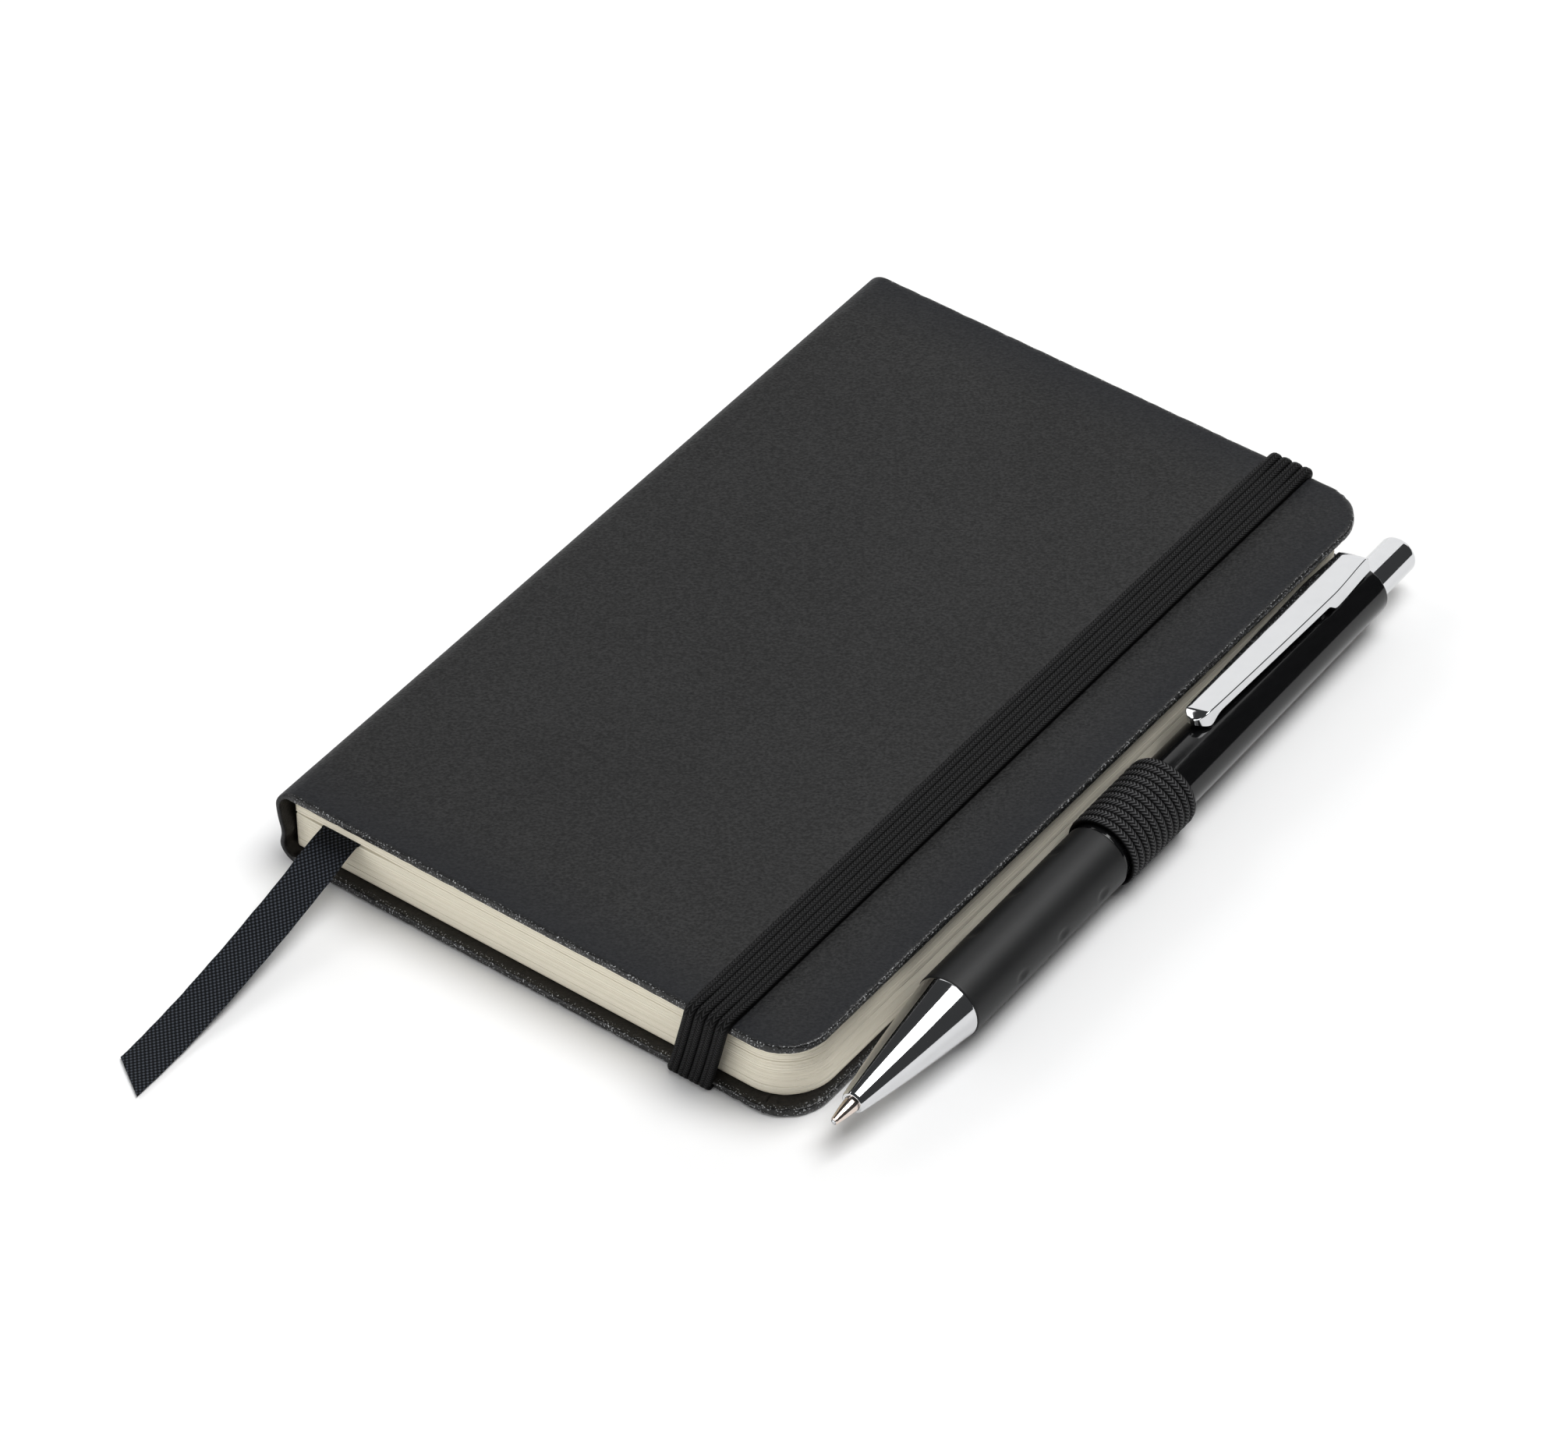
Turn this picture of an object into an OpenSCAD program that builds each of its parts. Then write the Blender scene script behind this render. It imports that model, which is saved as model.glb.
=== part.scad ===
// Pocket notebook with an elastic closure, a ribbon marker and a click pen in an elastic loop.
// Millimetres. Origin: centre of the underside of the back cover. +X fore-edge, +Y head, +Z up.

/* [Cover] */
// Width of the covers, spine to fore-edge
cover_w = 90; // [86:1:94]
// Height of the covers, tail to head
cover_h = 140; // [136:1:146]
// Thickness of the closed book
book_t = 13.5; // [12.5:0.5:15]
// Thickness of one cover with its skin and pastedown
cover_t = 1.5; // [1.4:0.1:1.8]
// Radius of the fore corners of the covers
corner_r = 7.4; // [5:0.1:9]
// Radius of the rounded spine edges
spine_r = 3.5; // [3:0.1:4]
// How far the spine bows out past the covers
spine_bow = 0.9; // [0.8:0.05:1]

/* [Pages] */
// Number of sections in the block
sections = 8; // [6:1:10]
// Sections above the ribbon, which turn with the front cover
front_sections = 3; // [2:1:4]
// Overhang of the covers past the pages at head and tail
page_inset_y = 2.3; // [1.5:0.1:3]
// Overhang of the covers past the pages at the fore-edge
page_inset_x = 1.4; // [1:0.1:2.5]
// Radius of the fore corners of the pages
page_r = 8; // [5:0.5:9]

/* [Elastic closure] */
// Width of the closure band
band_w = 7.2; // [5:0.1:9]
// Thickness of the closure band
band_t = 0.9; // [0.6:0.05:1.2]
// Distance of the band's centre from the fore-edge
band_in = 14.6; // [12:0.1:24]
// How far the band's legs lean towards the spine at the back cover
band_lean = 3.3; // [0:0.1:5]

/* [Ribbon] */
// Width of the ribbon
ribbon_w = 6.5; // [5:0.1:8]
// Thickness of the ribbon
ribbon_t = 0.35; // [0.25:0.05:0.4]

/* [Pen] */
// Distance of the pen's axis past the fore-edge
pen_out = 5.2; // [5.1:0.05:6]
// Height of the pen's axis above the table
pen_z = 6; // [6:0.1:7]
// Angle of the pen to the fore-edge
pen_yaw = 0.8; // [0:0.1:1]
// Angle of the clip towards the book
clip_roll = 12; // [0:1:15]
// Radius of the rubber grip
grip_r = 5.1; // [4.9:0.05:5.1]
// Width of the pen loop along the pen
loop_w = 15.6; // [10:0.1:18]
// Thickness of the elastic of the pen loop
loop_t = 0.75; // [0.5:0.05:0.8]

/* [Hidden] */

half_w = cover_w / 2;
half_h = cover_h / 2;

// Layers of one cover, from outside to inside
skin_t = 0.35;
paste_t = 0.15;
turn_in_t = 0.25;
board_t = cover_t - skin_t - turn_in_t - paste_t;
turn_in_w = 12;
paste_inset = 3;
hinge_gap_x = 0.7;                      // the covers stop this far inside the spine edge
cover_x0 = -half_w + hinge_gap_x;
board_x0 = cover_x0 + 1.1;

// Spine
spine_x = -half_w - spine_bow;
spine_t = 0.45;
spine_card_t = 0.25;
spine_card_inset = 10;                  // the card stops short of the head and tail
spine_end = 1.6;                        // height left free for each cover hinge

// Page block
leaf_t = 0.15;
cover_play = 0.2;                       // front flyleaf to front pastedown
ribbon_gap = 0.45;
lining_t = 0.12;
page_x0 = -half_w + 0.9;
block_z0 = cover_t + leaf_t;
block_z1 = book_t - cover_t - cover_play - leaf_t;
section_t = (block_z1 - block_z0 - ribbon_gap) / sections;
rear_sections = sections - front_sections;
rear_top = block_z0 + rear_sections * section_t;
front_bottom = rear_top + ribbon_gap;

// Elastic closure
band_x = half_w - band_in;
band_play = 0.1;
end_groove_t = 0.65;
end_slot_y = half_h - 10;
end_x = band_x - band_lean;

// Ribbon: route of the free end, from the tail of the pages down to the table
ribbon_x = -36.1;
ribbon_exit_y = -68;
ribbon_z = rear_top + ribbon_gap / 2;
ribbon_route = [
    [-36.1, ribbon_exit_y, ribbon_z], [-36.1, -70, 7.5], [-36.0, -73, 6.55], [-35.9, -76, 5.7],
    [-35.8, -79, 5], [-35.7, -82, 4.3], [-35.6, -85, 3.7], [-35.5, -88, 3.1], [-35.4, -91, 2.6],
    [-35.3, -94, 2.15], [-35.2, -97, 1.7], [-35.1, -100, 1.3], [-35.1, -103, 0.9],
    [-35.0, -106, 0.6], [-34.9, -109, 0.4], [-34.8, -112, 0.3], [-34.7, -115.7, 0.25]];

// Pen: distances along its axis, tip to head, from the middle of the book
tip_a = -70.1;
nose_a = -65.7;
grip_a0 = -43.2;
grip_a1 = -7.1;
ring_a1 = -4.9;
barrel_a1 = 61.5;
plunger_a1 = 71.3;
loop_a0 = -6.2;
core_r = 4.35;                          // barrel under the grip
barrel_r0 = 4.5;
barrel_r1 = 4.15;
bore_r = 3.3;
collar_l = 2.5;                         // narrow collar that guides the plunger
joint_r = 3.9;                          // joint between barrel and nose cone
joint_a1 = -36;
joint_gap = 0.05;
ring_r = 4.9;
nose_r = 4.95;
nose_bore_r = 2.7;
nose_curve = [[1.6, nose_a], [1.75, nose_a + 0.3], [2.55, -61], [3.4, -55.5], [4.2, -49.5]];
plunger_r = 3;
stem_r = 2.3;
tip_r = 1.15;
tip_shoulder = [[0.9, -67.7], [tip_r, -66]];
tip_end_r = 0.55;
refill_r = 1.5;
refill_bore_r = 1.2;
refill_a0 = -50;
refill_a1 = 36;
ball_r = 0.45;
run_gap = 0.07;                         // radial clearance of running fits
spring_a0 = -53.9;
spring_a1 = -40;
spring_wire = 0.2;
spring_r = 1.95;
spring_turns = 7;
sleeve_a0 = 44;
sleeve_a1 = 52;
sleeve_r = 2.6;
cam_ribs = 4;
cam_groove_w = 1;
cam_groove_r = 2.95;
rotor_r = 2;
rotor_rib_r = 2.5;
rotor_rib_w = 0.6;
rotor_rib_l = 6;
clip_a0 = 18.4;
clip_a1 = 60.6;
clip_top = 6.9;
clip_side_r = 5.5;                      // lower edge of the sides, from the pen's axis
clip_bump_r = 4.65;
clip_root_r = 4.4;
clip_root_l = 9.5;
clip_root_w = 5;
clip_wide_w = 5.8;
clip_tip_w = 3.7;
clip_sheet = 0.5;
round_fn = 72;

// ---- shared shapes ----

// Plan of a cover or a page: square at the spine, round at the fore corners
module leaf_plan(x0, inset, r, inset_y = 0) {
    x1 = half_w - inset;
    y1 = half_h - inset - inset_y;
    translate([x0, -y1]) square([x1 - r - x0, 2 * y1]);
    translate([x0, -y1 + r]) square([x1 - x0, 2 * (y1 - r)]);
    for (s = [-1, 1]) translate([x1 - r, s * (y1 - r)]) circle(r, $fn = round_fn);
}

module leaf_slab(x0, inset, r, z0, z1, inset_y = 0) {
    translate([0, 0, z0]) linear_extrude(z1 - z0) leaf_plan(x0, inset, r, inset_y);
}

// Cross-section of the closed book at the spine, shrunk by inset (x to the right, y up)
module spine_section(inset) {
    length = cover_w + spine_bow;
    translate([spine_x + inset, spine_r]) square([length, book_t - 2 * spine_r]);
    translate([spine_x + spine_r, inset]) square([length, book_t - 2 * inset]);
    for (z = [spine_r, book_t - spine_r])
        translate([spine_x + spine_r, z]) circle(spine_r - inset, $fn = round_fn);
}

// Extrudes a cross-section along Y, over the height of the covers
module along_book(height = cover_h) {
    rotate([90, 0, 0]) translate([0, 0, -height / 2]) linear_extrude(height) children();
}

// Turns the back cover's shapes into the front cover's
module as_front() {
    translate([0, 0, book_t]) mirror([0, 0, 1]) children();
}

// Puts a shape made along +Z onto the pen's axis
module on_pen() {
    translate([half_w + pen_out, 0, pen_z]) rotate([0, 0, pen_yaw]) rotate([-90, 0, 0]) children();
}

module turned(outline) {
    rotate_extrude($fn = round_fn) polygon(outline);
}

module tube(r0, r1, a0, a1) {
    turned([[r0, a0], [r1, a0], [r1, a1], [r0, a1]]);
}

// Sweeps a closed ring along a path; side gives the ring's first axis at each point
function unit(v) = v / norm(v);
function tangent(path, i) =
    unit(path[min(i + 1, len(path) - 1)] - path[max(i - 1, 0)]);

module sweep(path, ring, side) {
    sides = len(ring);
    points = [for (i = [0:len(path) - 1])
        let (t = tangent(path, i), u = unit(cross(t, cross(side(i), t))), v = cross(u, t))
        for (p = ring) path[i] + p[0] * u + p[1] * v];
    walls = [for (i = [0:len(path) - 2], k = [0:sides - 1])
        let (a = i * sides + k, b = i * sides + (k + 1) % sides)
        each [[a, a + sides, b + sides], [a, b + sides, b]]];
    first = [for (k = [0:sides - 1]) k];
    last = [for (k = [sides - 1:-1:0]) (len(path) - 1) * sides + k];
    polyhedron(points, concat(walls, [first], [last]));
}

// ---- covers ----

module cover_skin() {
    difference() {
        intersection() {
            leaf_slab(cover_x0, 0, corner_r, 0, cover_t - paste_t);
            along_book() spine_section(0);
        }
        leaf_slab(board_x0, skin_t, corner_r - skin_t, skin_t, skin_t + board_t);
        leaf_slab(board_x0 + 2, turn_in_w, 2, skin_t + board_t, cover_t);
    }
}

module cover_board() {
    color("tan") leaf_slab(board_x0, skin_t, corner_r - skin_t, skin_t, skin_t + board_t);
}

module cover_pastedown() {
    color("ivory") {
        leaf_slab(cover_x0, paste_inset, corner_r - paste_inset, cover_t - paste_t, cover_t);
        leaf_slab(board_x0 + 2, turn_in_w, 2, skin_t + board_t, cover_t - paste_t);
    }
}

// Room in the back cover for the ends of the closure and the tongue of the pen loop
module back_cover_slots() {
    play = 0.05;
    for (s = [-1, 1]) {
        translate([end_x - band_w / 2 - play, s > 0 ? end_slot_y - play : -half_h - 1, -1])
            cube([band_w + 2 * play, half_h - end_slot_y + play + 1, 1 + end_groove_t]);
        translate([end_x - band_w / 2 - play, s * end_slot_y - (s > 0 ? play : 1 + play), -1])
            cube([band_w + 2 * play, 1 + 2 * play, 1 + cover_t - paste_t]);
        translate([end_x - band_w / 2 - play, s * (end_slot_y - 0.4) - 1.5, skin_t + board_t])
            cube([band_w + 2 * play, 3, turn_in_t]);
    }
    translate([half_w - 9.1, loop_a0 - 0.2, skin_t + board_t])
        cube([10, loop_w + 0.4, cover_t]);
}

module front_cover_skin() { color("#2b2c30") as_front() cover_skin(); }
module front_board() { as_front() cover_board(); }
module front_pastedown() { as_front() cover_pastedown(); }

module back_cover_skin() {
    color("#2b2c30") difference() { cover_skin(); back_cover_slots(); }
}
module back_board() {
    color("tan") difference() { cover_board(); back_cover_slots(); }
}
module back_pastedown() {
    cover_pastedown();
}

module spine_skin() {
    color("#2b2c30") along_book() intersection() {
        difference() { spine_section(0); spine_section(spine_t); }
        translate([spine_x - 1, spine_end]) square([spine_r, book_t - 2 * spine_end]);
    }
}

module spine_card() {
    color("tan") along_book(cover_h - 2 * spine_card_inset)
        translate([spine_x + spine_t, spine_r]) square([spine_card_t, book_t - 2 * spine_r]);
}

// ---- pages ----

module page_slab(z0, z1) {
    leaf_slab(page_x0, page_inset_x, page_r, z0, z1, page_inset_y - page_inset_x);
}

module page_section(i) {
    z0 = i <= rear_sections ? block_z0 + (i - 1) * section_t
                            : front_bottom + (i - 1 - rear_sections) * section_t;
    color("#d8d0bc") page_slab(z0, z0 + section_t);
}

module back_flyleaf() { color("#e2dac6") page_slab(cover_t, block_z0); }
module front_flyleaf() { color("#e2dac6") page_slab(block_z1, block_z1 + leaf_t); }

module spine_lining(z0, z1) {
    y = half_h - page_inset_y;
    color("#cfc8b4") translate([page_x0 - lining_t, -y, z0]) cube([lining_t, 2 * y, z1 - z0]);
}

module rear_spine_lining() { spine_lining(block_z0, rear_top); }
module front_spine_lining() { spine_lining(front_bottom, block_z1); }

// ---- ribbon ----

module ribbon_inner() {
    x0 = ribbon_x - ribbon_w / 2;
    x1 = ribbon_x + ribbon_w / 2;
    y1 = half_h - page_inset_y;
    color("#16181d") translate([0, 0, ribbon_z - ribbon_t / 2]) linear_extrude(ribbon_t)
        polygon([[x0, ribbon_exit_y], [x1, ribbon_exit_y], [x1, 30], [page_x0 + ribbon_w, y1 - 2],
                 [page_x0, y1 - 6], [x0, 22]]);
}

module ribbon_tail() {
    h = ribbon_t / 2;
    w = ribbon_w / 2;
    ring = [[w, 0], [w - 0.2, h], [0, h], [0.2 - w, h], [-w, 0], [0.2 - w, -h], [0, -h], [w - 0.2, -h]];
    color("#16181d") sweep(ribbon_route, ring, function(i) [1, 0, 0]);
}

// ---- elastic closure ----

module elastic_band() {
    y1 = half_h + band_play;
    z1 = book_t + band_play;
    color("#17181a") {
        translate([band_x - band_w / 2, -y1 - band_t, z1]) cube([band_w, 2 * (y1 + band_t), band_t]);
        for (s = [-1, 1]) translate([0, s > 0 ? y1 + band_t : -y1, 0])
            rotate([90, 0, 0]) linear_extrude(band_t)
                polygon([[end_x - band_w / 2, end_groove_t], [end_x + band_w / 2, end_groove_t],
                         [band_x + band_w / 2, z1], [band_x - band_w / 2, z1]]);
    }
}

module elastic_ends() {
    run = half_h + band_play + band_t - end_slot_y;
    color("#17181a") for (s = [0, 1]) mirror([0, s, 0])
        translate([end_x - band_w / 2, 0, 0]) {
            translate([0, end_slot_y, 0]) cube([band_w, run, end_groove_t - 0.05]);
            translate([0, end_slot_y, 0]) cube([band_w, 1, cover_t - paste_t]);
            translate([0, end_slot_y - 1.8, skin_t + board_t]) cube([band_w, 2.8, turn_in_t]);
        }
}

module pen_loop() {
    color("#17181a") {
        on_pen() tube(grip_r + 0.08, grip_r + 0.08 + loop_t, loop_a0, loop_a0 + loop_w);
        translate([half_w - 9, loop_a0 + 0.1, skin_t + board_t])
            cube([9 + pen_out - 2.4, loop_w - 0.2, turn_in_t]);
    }
}

// ---- pen ----

module pen_barrel() {
    color("#0c0d10") on_pen() turned([
        [joint_r, grip_a0], [core_r, grip_a0], [core_r, ring_a1], [barrel_r0, ring_a1],
        [barrel_r1, barrel_a1 - 1.5], [barrel_r1 - 0.15, barrel_a1 - 0.6],
        [barrel_r1 - 0.6, barrel_a1], [plunger_r + run_gap, barrel_a1],
        [plunger_r + run_gap, barrel_a1 - collar_l], [bore_r, barrel_a1 - collar_l],
        [bore_r, joint_a1], [joint_r, joint_a1]]);
}

module pen_joint_ring() {
    color("#15161a") on_pen() turned([
        [core_r + 0.01, grip_a1], [ring_r - 0.15, grip_a1], [ring_r, grip_a1 + 0.15],
        [ring_r, ring_a1 - 0.4], [ring_r - 0.4, ring_a1], [core_r + 0.01, ring_a1]]);
}

module pen_grip() {
    color("#2c2d2f") on_pen() turned([
        [core_r + 0.01, grip_a0], [grip_r - 0.15, grip_a0], [grip_r, grip_a0 + 0.3],
        [grip_r, grip_a1 - 0.2], [grip_r - 0.15, grip_a1], [core_r + 0.01, grip_a1]]);
}

module pen_nose_cone() {
    bore = tip_r + run_gap;
    stub_r = joint_r - joint_gap;
    stub_a1 = joint_a1 - 2 * joint_gap;
    color("#d5d7da") on_pen() turned(concat([[bore, nose_a]], nose_curve, [
        [nose_r, grip_a0 - 0.25], [nose_r, grip_a0], [stub_r, grip_a0], [stub_r, stub_a1],
        [nose_bore_r, stub_a1], [nose_bore_r, spring_a0 - 0.1], [bore, spring_a0 - 0.1]]));
}

// Plan of the clip along the pen: widest where the root begins, shrunk by inset
module clip_plan(inset, a0, a1) {
    root_a = clip_a1 - clip_root_l;
    tip = clip_tip_w / 2 - inset;
    wide = clip_wide_w / 2 - inset;
    root = clip_root_w / 2 - inset;
    side = [[tip - 0.5, a0], [tip, a0 + 1], [wide, root_a], [root, clip_a1]];
    intersection() {
        polygon(concat(side, [for (k = [3:-1:0]) [-side[k][0], side[k][1]]]));
        translate([-clip_wide_w, a0]) square([2 * clip_wide_w, a1 - a0]);
    }
}

// Clip: a strip with turned-down sides, a bump at the tip and a deep root
module pen_clip() {
    root_a = clip_a1 - clip_root_l;
    color("#d5d7da") on_pen() rotate([0, 0, -clip_roll]) difference() {
        intersection() {
            rotate([90, 0, 0]) linear_extrude(clip_top + 1)
                clip_plan(0, clip_a0, clip_a1);
            rotate([0, -90, 0]) translate([0, 0, -clip_wide_w]) linear_extrude(2 * clip_wide_w)
                polygon([[clip_a1, -clip_root_r], [clip_a1, 0.5 - clip_top], [clip_a1 - 0.6, -clip_top],
                         [clip_a0 + 1.4, -clip_top], [clip_a0 + 0.4, 0.3 - clip_top],
                         [clip_a0, 0.9 - clip_top], [clip_a0 + 0.6, -clip_bump_r - 0.1],
                         [clip_a0 + 2.2, -clip_bump_r], [clip_a0 + 4, -clip_side_r],
                         [root_a - 1.5, -clip_side_r], [root_a, -clip_root_r]]);
        }
        rotate([90, 0, 0]) linear_extrude(clip_top - clip_sheet)
            clip_plan(clip_sheet, clip_a0 + 4.5, root_a - 1);
    }
}

module pen_plunger() {
    color("#d5d7da") on_pen() turned([
        [0, sleeve_a0 + 0.5], [stem_r, sleeve_a0 + 0.5], [stem_r, sleeve_a1 + 2],
        [plunger_r, sleeve_a1 + 2], [plunger_r, plunger_a1 - 1.1], [plunger_r - 0.3, plunger_a1 - 0.4],
        [plunger_r - 1.1, plunger_a1], [0, plunger_a1]]);
}

module pen_cam_sleeve() {
    color("#b8b8b2") on_pen() difference() {
        tube(sleeve_r, bore_r - 0.02, sleeve_a0, sleeve_a1);
        for (k = [0:cam_ribs - 1]) rotate([0, 0, k * 360 / cam_ribs])
            translate([0, -cam_groove_w / 2, sleeve_a0 - 1])
                cube([cam_groove_r, cam_groove_w, sleeve_a1 - sleeve_a0 + 2]);
    }
}

module pen_cam_rotor() {
    a0 = refill_a1 + 0.1;
    color("#b8b8b2") on_pen() {
        translate([0, 0, a0]) cylinder(sleeve_a0 - refill_a1, r = rotor_r, $fn = round_fn);
        for (k = [0:cam_ribs - 1]) rotate([0, 0, k * 360 / cam_ribs])
            translate([0, -rotor_rib_w / 2, a0 + 0.9]) cube([rotor_rib_r, rotor_rib_w, rotor_rib_l]);
    }
}

module pen_spring() {
    steps = 10;
    sides = 5;
    pitch = (spring_a1 - spring_a0 - 3 * spring_wire) / spring_turns;
    count = steps * spring_turns;
    path = [for (i = [0:count]) let (t = 360 * i / steps)
        [spring_r * cos(t), spring_r * sin(t), spring_a0 + 1.5 * spring_wire + pitch * i / steps]];
    ring = [for (k = [0:sides - 1]) spring_wire * [cos(360 * k / sides), sin(360 * k / sides)]];
    radial = function(i) [cos(360 * i / steps), sin(360 * i / steps), 0];
    color("#9a9ea3") on_pen() sweep(path, ring, radial);
}

module refill_tube() {
    color("#c9cdd2") on_pen() turned([
        [refill_bore_r, refill_a0], [refill_r, refill_a0], [refill_r, spring_a1],
        [stem_r, spring_a1], [stem_r, spring_a1 + 1], [refill_r, spring_a1 + 1],
        [refill_r, refill_a1], [0, refill_a1], [0, refill_a1 - 1], [refill_bore_r, refill_a1 - 1]]);
}

module refill_tip() {
    color("#c7b6a8") on_pen() difference() {
        turned(concat([[0, tip_a + 0.25], [tip_end_r, tip_a + 0.25]], tip_shoulder,
                      [[tip_r, refill_a0], [0, refill_a0]]));
        translate([0, 0, tip_a + ball_r]) sphere(ball_r, $fn = round_fn);
    }
}

module refill_ball() {
    color("#e6e3e0") on_pen() translate([0, 0, tip_a + ball_r]) sphere(ball_r, $fn = round_fn);
}

front_cover_skin();
front_board();
front_pastedown();
front_flyleaf();
back_cover_skin();
back_board();
back_pastedown();
back_flyleaf();
spine_skin();
spine_card();
front_spine_lining();
rear_spine_lining();
for (i = [1:sections]) page_section(i);
ribbon_inner();
ribbon_tail();
elastic_band();
elastic_ends();
pen_loop();
pen_barrel();
pen_joint_ring();
pen_grip();
pen_nose_cone();
pen_clip();
pen_plunger();
pen_cam_sleeve();
pen_cam_rotor();
pen_spring();
refill_tube();
refill_tip();
refill_ball();
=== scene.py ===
"""Pocket notebook with an elastic closure, a ribbon marker and a click pen, around its CAD frame."""
import math

import bmesh
import bpy
import numpy as np
from mathutils import Matrix, Vector, noise


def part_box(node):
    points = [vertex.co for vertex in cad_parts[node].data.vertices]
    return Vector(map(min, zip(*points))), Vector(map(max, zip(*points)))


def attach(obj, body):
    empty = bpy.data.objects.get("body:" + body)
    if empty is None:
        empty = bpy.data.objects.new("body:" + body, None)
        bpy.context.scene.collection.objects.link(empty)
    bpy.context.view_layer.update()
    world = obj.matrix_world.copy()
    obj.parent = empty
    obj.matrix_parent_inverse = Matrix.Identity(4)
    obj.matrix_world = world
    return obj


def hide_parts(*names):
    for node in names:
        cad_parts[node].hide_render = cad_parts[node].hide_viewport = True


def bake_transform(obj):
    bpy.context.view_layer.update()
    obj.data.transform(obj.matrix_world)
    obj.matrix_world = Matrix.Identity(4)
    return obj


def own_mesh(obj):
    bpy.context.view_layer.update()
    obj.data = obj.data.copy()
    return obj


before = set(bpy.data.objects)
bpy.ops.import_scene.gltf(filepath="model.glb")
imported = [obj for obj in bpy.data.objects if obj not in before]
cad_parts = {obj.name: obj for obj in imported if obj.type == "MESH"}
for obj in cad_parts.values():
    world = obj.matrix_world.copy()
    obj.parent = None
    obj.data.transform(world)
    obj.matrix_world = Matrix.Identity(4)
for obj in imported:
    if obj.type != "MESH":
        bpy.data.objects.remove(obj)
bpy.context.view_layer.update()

MM = 0.001
rng = np.random.default_rng(11)


def low(node):
    """Lowest corner of a CAD node, in millimetres"""
    return np.array(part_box(node)[0]) / MM


def high(node):
    """Highest corner of a CAD node, in millimetres"""
    return np.array(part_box(node)[1]) / MM


def linked(thing):
    """Puts a new object into the scene"""
    bpy.context.scene.collection.objects.link(thing)
    return thing


# ---- camera ----

CAMERA_AZIMUTH = math.radians(37.34)
CAMERA_ELEVATION = math.radians(43.12)
CAMERA_ROLL = math.radians(-0.71)
CAMERA_DISTANCE = 1.0715
CAMERA_TARGET = Vector((-0.00546, -0.00558, 0))
CAMERA_LENS = 171.6


def add_camera():
    """The photograph's view: a long lens from above the corner between the tail and the fore-edge"""
    data = bpy.data.cameras.new("studio_camera")
    data.lens = CAMERA_LENS
    data.sensor_width = 36
    data.sensor_fit = "HORIZONTAL"
    data.clip_start = 0.05
    data.clip_end = 20
    camera = linked(bpy.data.objects.new("studio_camera", data))
    flat = math.cos(CAMERA_ELEVATION)
    back = Vector((math.sin(CAMERA_AZIMUTH) * flat, -math.cos(CAMERA_AZIMUTH) * flat,
                   math.sin(CAMERA_ELEVATION)))
    right = Vector((math.cos(CAMERA_AZIMUTH), math.sin(CAMERA_AZIMUTH), 0))
    place = Matrix.Translation(CAMERA_TARGET + back * CAMERA_DISTANCE)
    axes = Matrix((right, back.cross(right), back)).transposed().to_4x4()
    camera.matrix_world = place @ axes @ Matrix.Rotation(CAMERA_ROLL, 4, "Z")
    bpy.context.scene.camera = camera


add_camera()

# ---- sizes, in millimetres, from the frame ----

SKIN_T = 0.35
HALF_W = high("back_board")[0] + SKIN_T  # fore-edge of the covers
HALF_H = high("back_cover_skin")[1]  # head of the covers
BOOK_T = high("front_cover_skin")[2]  # top of the closed book
SPINE_X = low("spine_skin")[0]
SPINE_R = 3.5  # rounding between the spine and each cover
CORNER_R = 7.4  # fore corners of the covers
TURN_Z = 1.35  # top of the turned-in skin
PAGE_R = 8.0  # fore corners of the leaves
PASTEDOWN_INSET = HALF_W - high("back_pastedown")[0] - 0.1
BAND_W, BAND_T = 7.2, 0.9
BAND_X = high("elastic_band")[0] - BAND_W / 2  # middle of the band on the front cover
BAND_TOP = high("elastic_band")[2]
BAND_END_X = BAND_X - 3.3  # middle of its ends under the back cover
PEN_POINT = np.array([50.2, 0.0, 6.0])  # on the pen's axis, beside the middle of the book
PEN_YAW = math.radians(0.8)
PEN_AXIS = np.array([-math.sin(PEN_YAW), math.cos(PEN_YAW), 0.0])
PEN_SIDE = np.array([math.cos(PEN_YAW), math.sin(PEN_YAW), 0.0])
UP = np.array([0.0, 0.0, 1.0])

# ---- materials ----


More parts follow.
